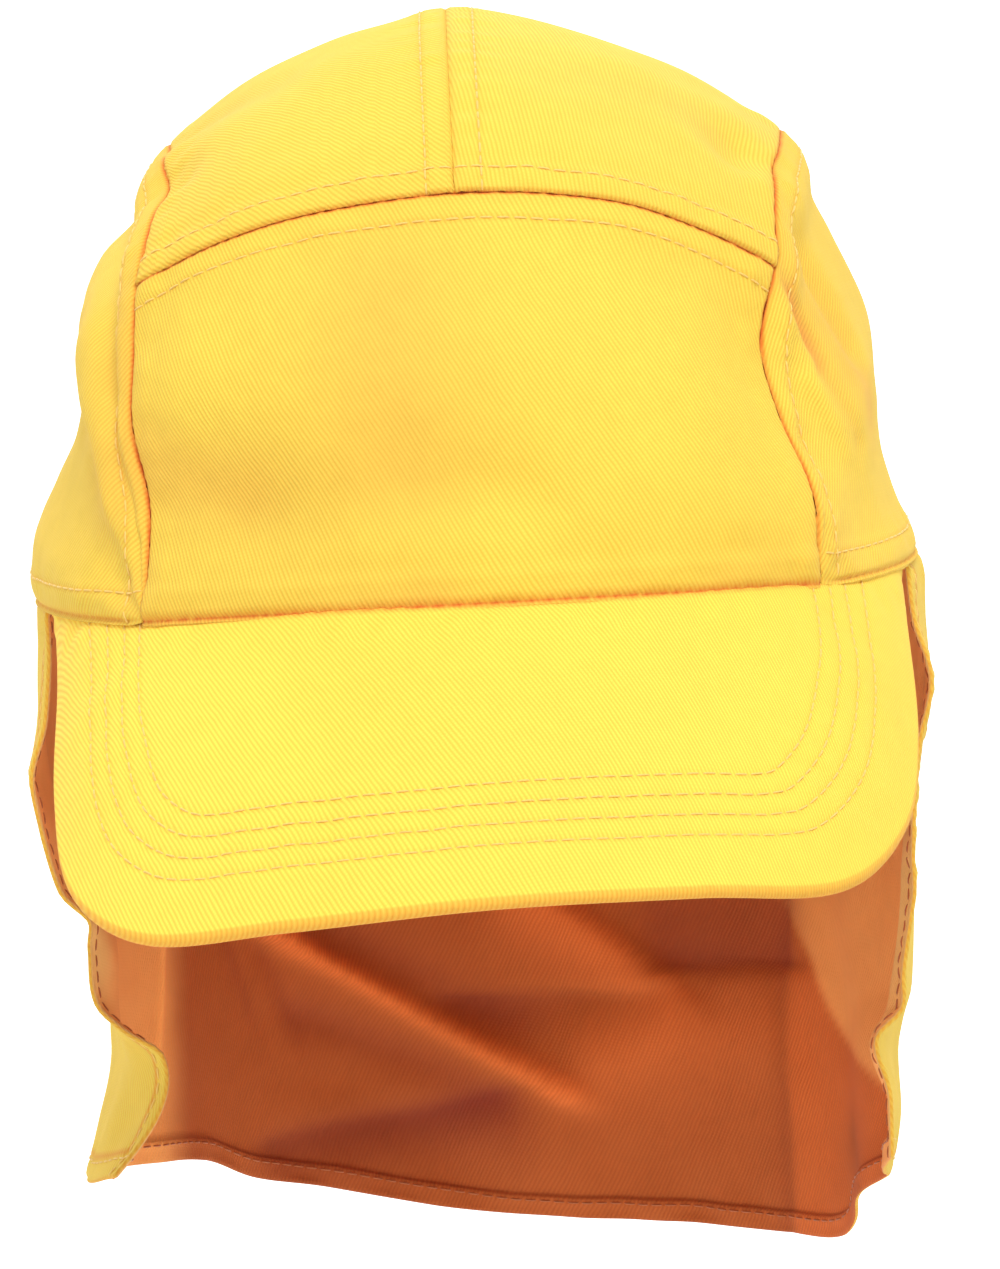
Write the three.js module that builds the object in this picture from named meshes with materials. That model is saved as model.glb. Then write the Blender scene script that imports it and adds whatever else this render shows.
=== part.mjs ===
// A legionnaire cap: a five-panel cotton crown, a stiff curved visor and a neck flap that hangs from
// the crown's lower edge. Millimetres, +Z up. The cap faces -Y and +X is on the viewer's right.
// The origin is the middle of the head opening, at the level where the crown's sides end.
import * as THREE from "three";

// Head opening, at the crown's lower edge.
const openingHalfWidth = 84;
const openingHalfLength = 93;
const openingSquareness = 2.3;
const frontLift = 2.2;

// Crown.
const crownHeight = 106.5;
const crownWall = 1.4;
const crownCentreHeight = 25;
const seamGap = 0.3;
const seamRidgeHeight = 1.6;
const seamRidgeWidth = 5;
const sideTipFrontShare = 0.008;
const sideTipBackShare = 0.99;
const sideFullShare = 0.7;
const rimFadeHeight = 14;

// Visor.
const visorLength = 69;
const visorThickness = 3;
const visorSlope = 44;
const visorEndSlope = 62;
const visorEndAngle = 69;
const visorCamber = 2.5;
const visorJoinGap = 0.35;

// Neck flap.
const flapLength = 147;
const flapWall = 1.3;
const flapJoinGap = 0.35;
const flapStartGap = 1;

const clothYellow = 0xfadc50;
const clothRoughness = 0.9;

const radians = THREE.MathUtils.degToRad;

// The strip from the forehead over the top to the nape. Lengths are shares: midY and edgeY of
// openingHalfLength, midZ, leftZ and rightZ of crownHeight, left and right of openingHalfWidth.
// round is how square the strip's curve across is.
const stripRows = [
  {
    at: 0, midY: -1, midZ: 0, left: 0.725, right: 0.745,
    edgeY: -0.75, leftZ: 0, rightZ: 0, round: 2.3,
  },
  {
    at: 0.06, midY: -0.985, midZ: 0.18, left: 0.705, right: 0.74,
    edgeY: -0.71, leftZ: 0.16, rightZ: 0.145, round: 2.3,
  },
  {
    at: 0.12, midY: -0.94, midZ: 0.39, left: 0.735, right: 0.68,
    edgeY: -0.66, leftZ: 0.31, rightZ: 0.285, round: 2.2,
  },
  {
    at: 0.18, midY: -0.865, midZ: 0.57, left: 0.72, right: 0.655,
    edgeY: -0.61, leftZ: 0.45, rightZ: 0.415, round: 2.05,
  },
  {
    at: 0.24, midY: -0.775, midZ: 0.708, left: 0.705, right: 0.69,
    edgeY: -0.555, leftZ: 0.562, rightZ: 0.534, round: 1.9,
  },
  {
    at: 0.3, midY: -0.65, midZ: 0.815, left: 0.685, right: 0.7,
    edgeY: -0.46, leftZ: 0.66, rightZ: 0.63, round: 1.75,
  },
  {
    at: 0.37, midY: -0.46, midZ: 0.905, left: 0.66, right: 0.72,
    edgeY: -0.29, leftZ: 0.74, rightZ: 0.705, round: 1.65,
  },
  {
    at: 0.45, midY: -0.2, midZ: 0.975, left: 0.648, right: 0.745,
    edgeY: -0.06, leftZ: 0.779, rightZ: 0.744, round: 1.62,
  },
  {
    at: 0.54, midY: 0.12, midZ: 1, left: 0.648, right: 0.745,
    edgeY: 0.2, leftZ: 0.78, rightZ: 0.748, round: 1.62,
  },
  {
    at: 0.63, midY: 0.43, midZ: 0.945, left: 0.65, right: 0.715,
    edgeY: 0.4, leftZ: 0.73, rightZ: 0.71, round: 1.7,
  },
  {
    at: 0.72, midY: 0.7, midZ: 0.805, left: 0.64, right: 0.67,
    edgeY: 0.58, leftZ: 0.62, rightZ: 0.61, round: 1.85,
  },
  {
    at: 0.81, midY: 0.88, midZ: 0.58, left: 0.615, right: 0.625,
    edgeY: 0.72, leftZ: 0.44, rightZ: 0.44, round: 2.1,
  },
  {
    at: 0.9, midY: 0.97, midZ: 0.31, left: 0.585, right: 0.585,
    edgeY: 0.81, leftZ: 0.23, rightZ: 0.23, round: 2.25,
  },
  {
    at: 1, midY: 1, midZ: 0, left: 0.56, right: 0.56,
    edgeY: 0.868, leftZ: 0, rightZ: 0, round: 2.3,
  },
];
const frontSeamAt = 0.24;

// How far a side panel stands out from the straight line between the rim and its seam,
// as a share of openingHalfWidth.
const sideRows = [
  { at: 0, left: 0, right: 0 },
  { at: 0.07, left: 0.03, right: 0 },
  { at: 0.16, left: 0.048, right: -0.006 },
  { at: 0.27, left: 0.03, right: 0.005 },
  { at: 0.38, left: 0.012, right: 0.031 },
  { at: 0.52, left: 0.03, right: 0.06 },
  { at: 0.66, left: 0.08, right: 0.052 },
  { at: 0.76, left: 0.07, right: 0.036 },
  { at: 0.84, left: 0.02, right: 0.024 },
  { at: 0.93, left: 0.034, right: 0.035 },
  { at: 1, left: 0, right: 0 },
];

// Soft dents and folds of the crown, each along a short line. X, Y and Z are shares of
// openingHalfWidth, openingHalfLength and crownHeight, wide and deep are shares of crownHeight.
const crownFolds = [
  {
    fromX: 0.66, fromY: -0.3, fromZ: 0.74, toX: 0.62, toY: -0.36,
    toZ: 0.72, wide: 0.066, deep: 0.033,
  },
  {
    fromX: -0.66, fromY: -0.3, fromZ: 0.74, toX: -0.62, toY: -0.34,
    toZ: 0.72, wide: 0.066, deep: 0.024,
  },
  {
    fromX: 0.76, fromY: -0.42, fromZ: 0.57, toX: 0.84, toY: -0.36,
    toZ: 0.38, wide: 0.045, deep: 0.03,
  },
  {
    fromX: 0.72, fromY: -0.55, fromZ: 0.4, toX: 0.78, toY: -0.5,
    toZ: 0.26, wide: 0.045, deep: -0.013,
  },
  {
    fromX: -0.78, fromY: -0.5, fromZ: 0.27, toX: -0.74, toY: -0.6,
    toZ: 0.16, wide: 0.056, deep: 0.022,
  },
  {
    fromX: 0.1, fromY: -0.85, fromZ: 0.58, toX: -0.1, toY: -0.85,
    toZ: 0.56, wide: 0.2, deep: 0.015,
  },
  {
    fromX: -0.5, fromY: -0.9, fromZ: 0.16, toX: 0.1, toY: -0.98,
    toZ: 0.2, wide: 0.085, deep: 0.012,
  },
  {
    fromX: -0.2, fromY: 0.95, fromZ: 0.4, toX: 0.15, toY: 0.95,
    toZ: 0.36, wide: 0.15, deep: 0.023,
  },
];

// The visor's outer edge, from the viewer's left to right. Lengths are shares: x of
// openingHalfWidth, reach and fall of visorLength.
const visorRows = [
  { at: 0, x: -0.945, reach: -0.93, fall: 0.02 },
  { at: 0.08, x: -0.935, reach: -0.6, fall: 0.2 },
  { at: 0.17, x: -0.935, reach: -0.18, fall: 0.46 },
  { at: 0.25, x: -0.89, reach: 0.15, fall: 0.65 },
  { at: 0.32, x: -0.73, reach: 0.43, fall: 0.73 },
  { at: 0.4, x: -0.43, reach: 0.61, fall: 0.69 },
  { at: 0.5, x: 0, reach: 0.71, fall: 0.645 },
  { at: 0.6, x: 0.43, reach: 0.64, fall: 0.655 },
  { at: 0.68, x: 0.73, reach: 0.47, fall: 0.685 },
  { at: 0.75, x: 0.88, reach: 0.18, fall: 0.59 },
  { at: 0.83, x: 0.935, reach: -0.18, fall: 0.41 },
  { at: 0.92, x: 0.945, reach: -0.6, fall: 0.17 },
  { at: 1, x: 0.945, reach: -0.93, fall: 0.02 },
];

// The hem of the flap, from its front edge on the viewer's left to the one on the right. drop is a
// share of flapLength.
const hemRows = [
  { at: 0, drop: 0.74 },
  { at: 0.08, drop: 0.78 },
  { at: 0.18, drop: 0.804 },
  { at: 0.29, drop: 0.84 },
  { at: 0.34, drop: 0.887 },
  { at: 0.39, drop: 0.919 },
  { at: 0.47, drop: 0.973 },
  { at: 0.53, drop: 0.99 },
  { at: 0.61, drop: 0.998 },
  { at: 0.68, drop: 1 },
  { at: 0.74, drop: 0.983 },
  { at: 0.79, drop: 0.914 },
  { at: 0.84, drop: 0.869 },
  { at: 0.92, drop: 0.825 },
  { at: 1, drop: 0.775 },
];

// How far the flap hangs outside the rim, as shares of flapLength, from its top, 0, to its hem, 1.
// The columns go round the neck and stand at the places in hangPlaces.
const hangRows = [
  {
    at: 0, leftEdge: 0, leftSide: 0, leftBack: 0, back: 0,
    rightBack: 0, rightSide: 0, rightEdge: 0,
  },
  {
    at: 0.1, leftEdge: -0.002, leftSide: 0.006, leftBack: 0, back: 0,
    rightBack: 0, rightSide: 0.003, rightEdge: 0.004,
  },
  {
    at: 0.2, leftEdge: 0.007, leftSide: 0.006, leftBack: 0, back: 0,
    rightBack: 0, rightSide: 0.003, rightEdge: 0.019,
  },
  {
    at: 0.3, leftEdge: 0.027, leftSide: 0, leftBack: -0.005, back: -0.002,
    rightBack: 0, rightSide: -0.007, rightEdge: 0,
  },
  {
    at: 0.4, leftEdge: 0.018, leftSide: -0.02, leftBack: -0.01, back: -0.005,
    rightBack: -0.005, rightSide: -0.02, rightEdge: -0.014,
  },
  {
    at: 0.5, leftEdge: 0, leftSide: -0.041, leftBack: -0.02, back: -0.01,
    rightBack: -0.01, rightSide: -0.027, rightEdge: -0.03,
  },
  {
    at: 0.55, leftEdge: -0.037, leftSide: -0.055, leftBack: -0.025, back: -0.01,
    rightBack: -0.014, rightSide: -0.028, rightEdge: -0.035,
  },
  {
    at: 0.6, leftEdge: -0.034, leftSide: -0.065, leftBack: -0.03, back: -0.011,
    rightBack: -0.018, rightSide: -0.028, rightEdge: -0.047,
  },
  {
    at: 0.7, leftEdge: -0.037, leftSide: -0.065, leftBack: -0.035, back: -0.012,
    rightBack: -0.025, rightSide: -0.038, rightEdge: -0.067,
  },
  {
    at: 0.75, leftEdge: -0.068, leftSide: -0.066, leftBack: -0.035, back: -0.012,
    rightBack: -0.028, rightSide: -0.055, rightEdge: -0.08,
  },
  {
    at: 0.8, leftEdge: -0.115, leftSide: -0.07, leftBack: -0.035, back: -0.01,
    rightBack: -0.03, rightSide: -0.068, rightEdge: -0.1,
  },
  {
    at: 0.9, leftEdge: -0.105, leftSide: -0.046, leftBack: -0.03, back: -0.005,
    rightBack: -0.03, rightSide: -0.062, rightEdge: -0.075,
  },
  {
    at: 1, leftEdge: -0.04, leftSide: -0.014, leftBack: -0.025, back: 0,
    rightBack: -0.03, rightSide: -0.08, rightEdge: -0.065,
  },
];
const hangPlaces = [
  { at: 0, name: "leftEdge" },
  { at: 0.08, name: "leftSide" },
  { at: 0.28, name: "leftBack" },
  { at: 0.5, name: "back" },
  { at: 0.72, name: "rightBack" },
  { at: 0.92, name: "rightSide" },
  { at: 1, name: "rightEdge" },
];

// Slanting folds of the hanging cloth: at, toAt and wide are shares round the flap, down and
// toDown are shares of its drop, out is a share of flapLength.
const flapFolds = [
  { at: 0.36, down: 0.48, toAt: 0.54, toDown: 0.84, wide: 0.05, out: -0.034 },
  { at: 0.48, down: 0.45, toAt: 0.61, toDown: 0.7, wide: 0.045, out: -0.027 },
  { at: 0.42, down: 0.84, toAt: 0.5, toDown: 1, wide: 0.06, out: 0.02 },
  { at: 0.25, down: 0.3, toAt: 0.24, toDown: 1, wide: 0.03, out: -0.017 },
  { at: 0.76, down: 0.35, toAt: 0.8, toDown: 1, wide: 0.035, out: -0.02 },
  { at: 0.16, down: 0.5, toAt: 0.15, toDown: 1, wide: 0.03, out: 0.012 },
  { at: 0.86, down: 0.4, toAt: 0.85, toDown: 1, wide: 0.03, out: 0.012 },
];
const foldEndSharpness = 8;

// A smooth value of one column of a table whose rows are placed by their "at".
function column(rows, name, at) {
  let i = 0;
  while (i < rows.length - 2 && at > rows[i + 1].at) i += 1;
  const start = rows[i];
  const end = rows[i + 1];
  const before = rows[i - 1] ?? start;
  const after = rows[i + 2] ?? end;
  const span = end.at - start.at;
  const t = (at - start.at) / span;
  const slopeIn = ((end[name] - before[name]) / (end.at - before.at)) * span;
  const slopeOut = ((after[name] - start[name]) / (after.at - start.at)) * span;
  const rise = end[name] - start[name];
  return (
    start[name] +
    slopeIn * t +
    (3 * rise - 2 * slopeIn - slopeOut) * t * t +
    (slopeIn + slopeOut - 2 * rise) * t * t * t
  );
}

function smoothStep(t) {
  const c = THREE.MathUtils.clamp(t, 0, 1);
  return c * c * (3 - 2 * c);
}

// A point of the head opening, by the angle from the front towards +X.
function rimPoint(angle) {
  const s = Math.abs(Math.sin(angle)) / openingHalfWidth;
  const c = Math.abs(Math.cos(angle)) / openingHalfLength;
  const radius = (s ** openingSquareness + c ** openingSquareness) ** (-1 / openingSquareness);
  return new THREE.Vector3(radius * Math.sin(angle), -radius * Math.cos(angle), 0);
}

// The same opening as a half width at a distance along the head.
function rimHalfWidth(y) {
  const share = Math.min(Math.abs(y) / openingHalfLength, 1);
  return openingHalfWidth * (1 - share ** openingSquareness) ** (1 / openingSquareness);
}

function rimLength(x) {
  const share = Math.min(Math.abs(x) / openingHalfWidth, 1);
  return openingHalfLength * (1 - share ** openingSquareness) ** (1 / openingSquareness);
}

// How far a section has turned from its middle, 0, to its edge, 1.
function turned(across, edge, round) {
  const curve = (x) => 1 - (1 - x ** round) ** (1 / round);
  return curve(Math.abs(across) * edge) / curve(edge);
}

// The height of the crown's lower edge, which arches over the forehead.
function rimHeight(x, y) {
  const edge = x < 0 ? stripRows[0].left : stripRows[0].right;
  const across = Math.abs(x) / (edge * openingHalfWidth);
  return y < 0 && across < 1 ? frontLift * (1 - turned(across, edge, openingSquareness)) : 0;
}

// A point of the strip, across from -1 to 1 and along from the forehead, 0, to the nape, 1.
function stripPoint(across, along) {
  const side = across < 0 ? "left" : "right";
  const edge = column(stripRows, side, along);
  const bend = turned(across, edge, column(stripRows, "round", along));
  const midY = column(stripRows, "midY", along) * openingHalfLength;
  const midZ = column(stripRows, "midZ", along) * crownHeight;
  let edgeY = column(stripRows, "edgeY", along) * openingHalfLength;
  const edgeZ = column(stripRows, `${side}Z`, along) * crownHeight;
  const rim = rimLength(edge * openingHalfWidth);
  const nearRim = 1 - smoothStep(edgeZ / rimFadeHeight);
  edgeY = THREE.MathUtils.lerp(edgeY, Math.sign(edgeY) * rim, nearRim);
  return new THREE.Vector3(
    across * edge * openingHalfWidth,
    THREE.MathUtils.lerp(midY, edgeY, bend),
    THREE.MathUtils.lerp(midZ, edgeZ, bend),
  );
}

// A point of a side panel: a share of the way back from its front tip, and up from the rim, 0, to
// its seam with the strip, 1.
function sidePoint(side, back, up) {
  const seam = stripPoint(side, THREE.MathUtils.lerp(sideTipFrontShare, sideTipBackShare, back));
  const frontY = stripPoint(side, sideTipFrontShare).y;
  const footY = THREE.MathUtils.lerp(frontY, stripPoint(side, sideTipBackShare).y, back);
  const foot = new THREE.Vector3(side * rimHalfWidth(footY), footY, 0);
  const name = side < 0 ? "left" : "right";
  const stand = column(sideRows, name, up) * openingHalfWidth;
  const tall = Math.min(seam.z / (crownHeight * sideFullShare), 1);
  const point = foot.lerp(seam, up);
  point.x += side * stand * tall;
  return point;
}

// The way out of the crown at a point.
function outwards(point) {
  return point.clone().sub(new THREE.Vector3(0, 0, crownCentreHeight)).normalize();
}

function scaled(x, y, z) {
  return new THREE.Vector3(x * openingHalfWidth, y * openingHalfLength, z * crownHeight);
}

// Presses the folds and dents into a point of the crown.
function folded(point) {
  let press = 0;
  const nearest = new THREE.Vector3();
  for (const fold of crownFolds) {
    const line = new THREE.Line3(
      scaled(fold.fromX, fold.fromY, fold.fromZ),
      scaled(fold.toX, fold.toY, fold.toZ),
    );
    line.closestPointToPoint(point, true, nearest);
    const away = nearest.distanceTo(point) / (fold.wide * crownHeight);
    press += fold.deep * crownHeight * Math.exp(-(away ** 2));
  }
  const fade = smoothStep(point.z / rimFadeHeight);
  return point.clone().addScaledVector(outwards(point), -press * fade);
}

// A closed solid from a grid of outer points and a grid of inner points.
function shell(name, columns, rows, outerAt, innerAt) {
  const positions = [];
  for (const pointAt of [outerAt, innerAt]) {
    for (let i = 0; i <= columns; i += 1) {
      for (let j = 0; j <= rows; j += 1) positions.push(...pointAt(i / columns, j / rows).toArray());
    }
  }
  const layer = (columns + 1) * (rows + 1);
  const at = (i, j) => i * (rows + 1) + j;
  const faces = [];
  const quad = (a, b, c, d) => faces.push(a, b, c, a, c, d);
  for (let i = 0; i < columns; i += 1) {
    for (let j = 0; j < rows; j += 1) {
      const [a, b, c, d] = [at(i, j), at(i + 1, j), at(i + 1, j + 1), at(i, j + 1)];
      quad(a, b, c, d);
      quad(a + layer, d + layer, c + layer, b + layer);
    }
  }
  const border = [];
  for (let i = 0; i < columns; i += 1) border.push(at(i, 0));
  for (let j = 0; j < rows; j += 1) border.push(at(columns, j));
  for (let i = columns; i > 0; i -= 1) border.push(at(i, rows));
  for (let j = rows; j > 0; j -= 1) border.push(at(0, j));
  border.forEach((a, k) => {
    const b = border[(k + 1) % border.length];
    quad(b, a, a + layer, b + layer);
  });
  const geometry = new THREE.BufferGeometry();
  geometry.setAttribute("position", new THREE.Float32BufferAttribute(positions, 3));
  geometry.setIndex(faces);
  geometry.computeVertexNormals();
  const material = new THREE.MeshStandardMaterial({
    color: clothYellow,
    roughness: clothRoughness,
    metalness: 0,
  });
  const mesh = new THREE.Mesh(geometry, material);
  mesh.name = name;
  return mesh;
}

// A crown panel, whose wall lies inside its outer face.
function crownPanel(name, columns, rows, pointAt) {
  const outerAt = (u, v) => folded(pointAt(u, v));
  const innerAt = (u, v) => {
    const point = outerAt(u, v);
    return point.addScaledVector(outwards(point), -crownWall);
  };
  return shell(name, columns, rows, outerAt, innerAt);
}

// The length of the strip along its edge, which turns millimetres into shares of the strip.
const stripSteps = 60;
const stripArc = Array.from({ length: stripSteps }, (unused, i) =>
  stripPoint(1, i / stripSteps).distanceTo(stripPoint(1, (i + 1) / stripSteps)),
).reduce((sum, step) => sum + step, 0);
const alongGap = seamGap / 2 / stripArc;

// A point of the strip, at a share of the way across from one edge or seam to the other.
function stripInset(from, to, share, along) {
  const side = from + to < 0 ? "left" : "right";
  const inset = seamGap / (column(stripRows, side, along) * openingHalfWidth);
  const start = from === 0 ? inset / 2 : from * (1 - inset);
  const end = to === 0 ? -inset / 2 : to * (1 - inset);
  return stripPoint(THREE.MathUtils.lerp(start, end, share), along);
}

function frontPanel() {
  return crownPanel("front_panel", 24, 12, (u, v) => {
    const point = stripInset(-1, 1, u, v * (frontSeamAt - alongGap));
    point.z += rimHeight(point.x, point.y) * (1 - v);
    return point;
  });
}

// The top panels' folded front edge stands a little proud of the front panel.
function topPanel(name, from, to) {
  const start = frontSeamAt + alongGap;
  return crownPanel(name, 11, 20, (u, v) => {
    const along = THREE.MathUtils.lerp(start, 1, v);
    const point = stripInset(from, to, u, along);
    const fromSeam = (along - start) * stripArc;
    const ridge = seamRidgeHeight * (1 - smoothStep(fromSeam / seamRidgeWidth));
    return point.addScaledVector(outwards(point), ridge);
  });
}

function sidePanel(name, side) {
  return crownPanel(name, 26, 10, (u, v) => sidePoint(side, side > 0 ? u : 1 - u, v));
}

// A point of the visor's upper face, from the crown, 0, to its outer edge, 1.
function visorPoint(across, out) {
  const rim = rimPoint(radians(THREE.MathUtils.lerp(-visorEndAngle, visorEndAngle, across)));
  rim.z = rimHeight(rim.x, rim.y) - visorJoinGap;
  const edge = new THREE.Vector3(
    column(visorRows, "x", across) * openingHalfWidth,
    -openingHalfLength - column(visorRows, "reach", across) * visorLength,
    -column(visorRows, "fall", across) * visorLength,
  );
  const bulge = Math.sin(Math.PI * out) * visorCamber * Math.sin(Math.PI * across);
  return rim.lerp(edge, out).add(new THREE.Vector3(0, -bulge / 2, bulge));
}

// The way out of a curved face at a point, from its neighbours on the face.
function faceNormal(pointAt, u, v) {
  const reach = 0.012;
  const lowU = Math.max(u - reach, 0);
  const highU = Math.min(u + reach, 1);
  const lowV = Math.max(v - reach, 0);
  const highV = Math.min(v + reach, 1);
  const acrossWay = pointAt(highU, v).sub(pointAt(lowU, v));
  const outWay = pointAt(u, highV).sub(pointAt(u, lowV));
  return acrossWay.cross(outWay).normalize();
}

// The way out of the visor's upper face, which is steeper at its two ends.
function visorNormal(across) {
  const rim = rimPoint(radians(THREE.MathUtils.lerp(-visorEndAngle, visorEndAngle, across)));
  const slope = radians(THREE.MathUtils.lerp(visorSlope, visorEndSlope, (2 * across - 1) ** 2));
  return rim.normalize().multiplyScalar(Math.sin(slope)).setZ(Math.cos(slope));
}

function peak() {
  const outerAt = (u, v) => visorPoint(1 - u, v);
  const innerAt = (u, v) => outerAt(u, v).addScaledVector(visorNormal(1 - u), -visorThickness);
  return shell("peak", 40, 8, outerAt, innerAt);
}

// How far the flap hangs outside the rim, in millimetres.
function flapStand(at, down) {
  const rows = hangPlaces.map((place) => ({
    at: place.at,
    out: column(hangRows, place.name, down),
  }));
  let stand = column(rows, "out", at);
  for (const fold of flapFolds) {
    const share = THREE.MathUtils.clamp((down - fold.down) / (fold.toDown - fold.down), 0, 1);
    const away = (at - THREE.MathUtils.lerp(fold.at, fold.toAt, share)) / fold.wide;
    const past = (down - THREE.MathUtils.lerp(fold.down, fold.toDown, share)) * foldEndSharpness;
    stand += fold.out * Math.exp(-(away ** 2) - past ** 2);
  }
  return stand * flapLength;
}

function flapPoint(at, down) {
  const start = visorEndAngle + flapStartGap;
  const angle = radians(THREE.MathUtils.lerp(-start, start - 360, at));
  const rim = rimPoint(angle);
  const ahead = rimPoint(angle - 0.01).sub(rimPoint(angle + 0.01));
  const out = new THREE.Vector3(-ahead.y, ahead.x, 0).normalize();
  rim.z = -flapJoinGap - down * column(hemRows, "drop", at) * flapLength;
  return rim.addScaledVector(out, flapStand(at, down));
}

function neckFlap() {
  const outerAt = (u, v) => flapPoint(u, v);
  const innerAt = (u, v) =>
    outerAt(u, v).addScaledVector(faceNormal(outerAt, u, v), -flapWall);
  return shell("neck_flap", 60, 17, outerAt, innerAt);
}

export default new THREE.Group().add(
  frontPanel(),
  topPanel("top_panel_left", -1, 0),
  topPanel("top_panel_right", 0, 1),
  sidePanel("side_panel_left", -1),
  sidePanel("side_panel_right", 1),
  peak(),
  neckFlap(),
);
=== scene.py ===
"""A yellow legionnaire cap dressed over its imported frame: cloth, seams, stitches and light.

Shapes are worked out in millimetres, in the frame's own axes, and become metres in the meshes.
"""

from __future__ import annotations

import logging
import math
from collections.abc import Callable
from dataclasses import dataclass, field
from enum import Enum

import bpy
import numpy as np
from mathutils import Matrix, Vector

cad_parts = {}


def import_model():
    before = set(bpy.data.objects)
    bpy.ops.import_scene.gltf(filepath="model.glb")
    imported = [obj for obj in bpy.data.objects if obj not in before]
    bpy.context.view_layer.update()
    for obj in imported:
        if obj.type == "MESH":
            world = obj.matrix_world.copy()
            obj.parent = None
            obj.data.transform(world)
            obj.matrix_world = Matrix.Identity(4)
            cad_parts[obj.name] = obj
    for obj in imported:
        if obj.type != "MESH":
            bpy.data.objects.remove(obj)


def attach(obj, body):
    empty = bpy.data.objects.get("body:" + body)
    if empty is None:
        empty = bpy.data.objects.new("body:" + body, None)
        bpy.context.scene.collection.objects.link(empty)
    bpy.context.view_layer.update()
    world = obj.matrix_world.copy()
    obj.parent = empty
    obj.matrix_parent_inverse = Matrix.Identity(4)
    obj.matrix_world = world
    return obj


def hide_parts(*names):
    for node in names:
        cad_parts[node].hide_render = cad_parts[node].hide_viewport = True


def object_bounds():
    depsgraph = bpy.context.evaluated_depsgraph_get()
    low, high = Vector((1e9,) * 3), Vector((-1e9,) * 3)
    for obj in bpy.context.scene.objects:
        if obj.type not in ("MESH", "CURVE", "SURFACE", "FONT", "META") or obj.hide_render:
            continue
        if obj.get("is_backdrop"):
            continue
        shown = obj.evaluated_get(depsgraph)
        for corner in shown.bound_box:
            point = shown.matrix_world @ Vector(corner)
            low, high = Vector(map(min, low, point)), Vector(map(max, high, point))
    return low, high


Array = np.ndarray
Colour = tuple[float, float, float]
Place = tuple[float, float, float]
Material = bpy.types.Material
Mesh = bpy.types.Mesh
Piece = bpy.types.Object
Socket = bpy.types.NodeSocket
Tree = bpy.types.NodeTree

METRES = 0.001
LOG = logging.getLogger("legionnaire_cap")
# Distances from a sewn edge at which the cloth gets its first points
FINE_STEPS = (0, 0.2, 0.42, 0.68, 1.0, 1.5, 2.2, 3.1, 4.0, 4.5, 4.9, 5.3, 5.8, 6.6, 7.6)


class Slot(Enum):
    """The record's material slots."""

    OUTER = "yellow_twill"
    THREAD = "sewing_thread"


class Side(Enum):
    """The viewer's left and right, as the sign of X."""

    LEFT = -1
    RIGHT = 1

    def choose(self, pair: tuple[float, float]) -> float:
        """The left one or the right one of two values."""
        return pair[self is Side.RIGHT]


@dataclass(frozen=True)
class Palette:
    """The finished materials: the cloth's outer one and its inner one, a copy with painted shade, and the
    threads, of which the shaded one has painted shade.
    """

    cloth: list[Material]
    thread: Material
    shaded_thread: Material


def smooth_step(t: Array) -> Array:
    """Rises smoothly from 0 to 1 as t goes from 0 to 1."""
    c = np.clip(t, 0.0, 1.0)
    return c * c * (3 - 2 * c)


def bell(t: Array) -> Array:
    """A smooth hump that is 1 at t = 0 and fades to both sides."""
    return np.exp(-np.square(t))


def mix(a: Array, b: Array, t: Array) -> Array:
    """The value a share t of the way from a to b."""
    return a + (b - a) * t


def smooth_through(places: Array, values: Array, at: Array) -> Array:
    """Reads a smooth curve through placed values.

    Args:
        places: Rising places of the values.
        values: One value per place.
        at: Where to read the curve.

    Returns:
        The curve's values, in the shape of at.
    """
    last = len(places) - 1
    i = np.clip(np.searchsorted(places, at, side="left") - 1, 0, last - 1)
    before, after = np.maximum(i - 1, 0), np.minimum(i + 2, last)
    span = places[i + 1] - places[i]
    t = (at - places[i]) / span
    slope_in = (values[i + 1] - values[before]) / (places[i + 1] - places[before]) * span
    slope_out = (values[after] - values[i]) / (places[after] - places[i]) * span
    rise = values[i + 1] - values[i]
    return (
        values[i]
        + slope_in * t
        + (3 * rise - 2 * slope_in - slope_out) * t**2
        + (slope_in + slope_out - 2 * rise) * t**3
    )


@dataclass(frozen=True)
class Table:
    """Rows of numbers, placed by the first column and read smoothly by another column's name."""

    names: str
    rows: tuple[tuple[float, ...], ...]

    def read(self, name: str, at: Array) -> Array:
        """Reads one named column at the given places."""
        data = np.asarray(self.rows, float)
        return smooth_through(data[:, 0], data[:, self.names.split().index(name)], np.asarray(at, float))


@dataclass(frozen=True)
class Ripple:
    """A seeded wavy line or field: a sum of sine waves of many lengths."""

    seed: int
    shortest: float
    longest: float
    waves: int = 12

    def read(self, points: Array) -> Array:
        """Reads the ripple.

        Args:
            points: Places in millimetres, with their coordinates on the last axis.

        Returns:
            Heights with a spread of about 1.
        """
        draw = np.random.default_rng(self.seed)
        total = np.zeros(points.shape[:-1])
        for _ in range(self.waves):
            way = draw.normal(size=points.shape[-1])
            length = draw.uniform(self.shortest, self.longest)
            turn = points @ (way / np.linalg.norm(way)) * (2 * math.pi / length)
            total += np.sin(turn + draw.uniform(0, 2 * math.pi))
        return total / math.sqrt(self.waves / 2)


@dataclass(frozen=True)
class Fold:
    """A dent, or a ridge when deep is negative, along a short line in the cloth.

    The cloth there takes painted light, or painted shade where the last value is negative.
    """

    start: Place
    end: Place
    wide: float
    deep: float
    tone: float = 0.0

    def share(self, points: Array) -> Array:
        """How much of the fold each point takes, from 0 to 1."""
        a, b = np.asarray(self.start, float), np.asarray(self.end, float)
        line = b - a
        place = np.clip((points - a) @ line / (line @ line), 0, 1)
        away = np.linalg.norm(points - (a + place[..., None] * line), axis=-1)
        return bell(away / self.wide)


def unit(vectors: Array) -> Array:
    """The vectors at length 1."""
    return vectors / np.maximum(np.linalg.norm(vectors, axis=-1, keepdims=True), 1e-9)


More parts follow.
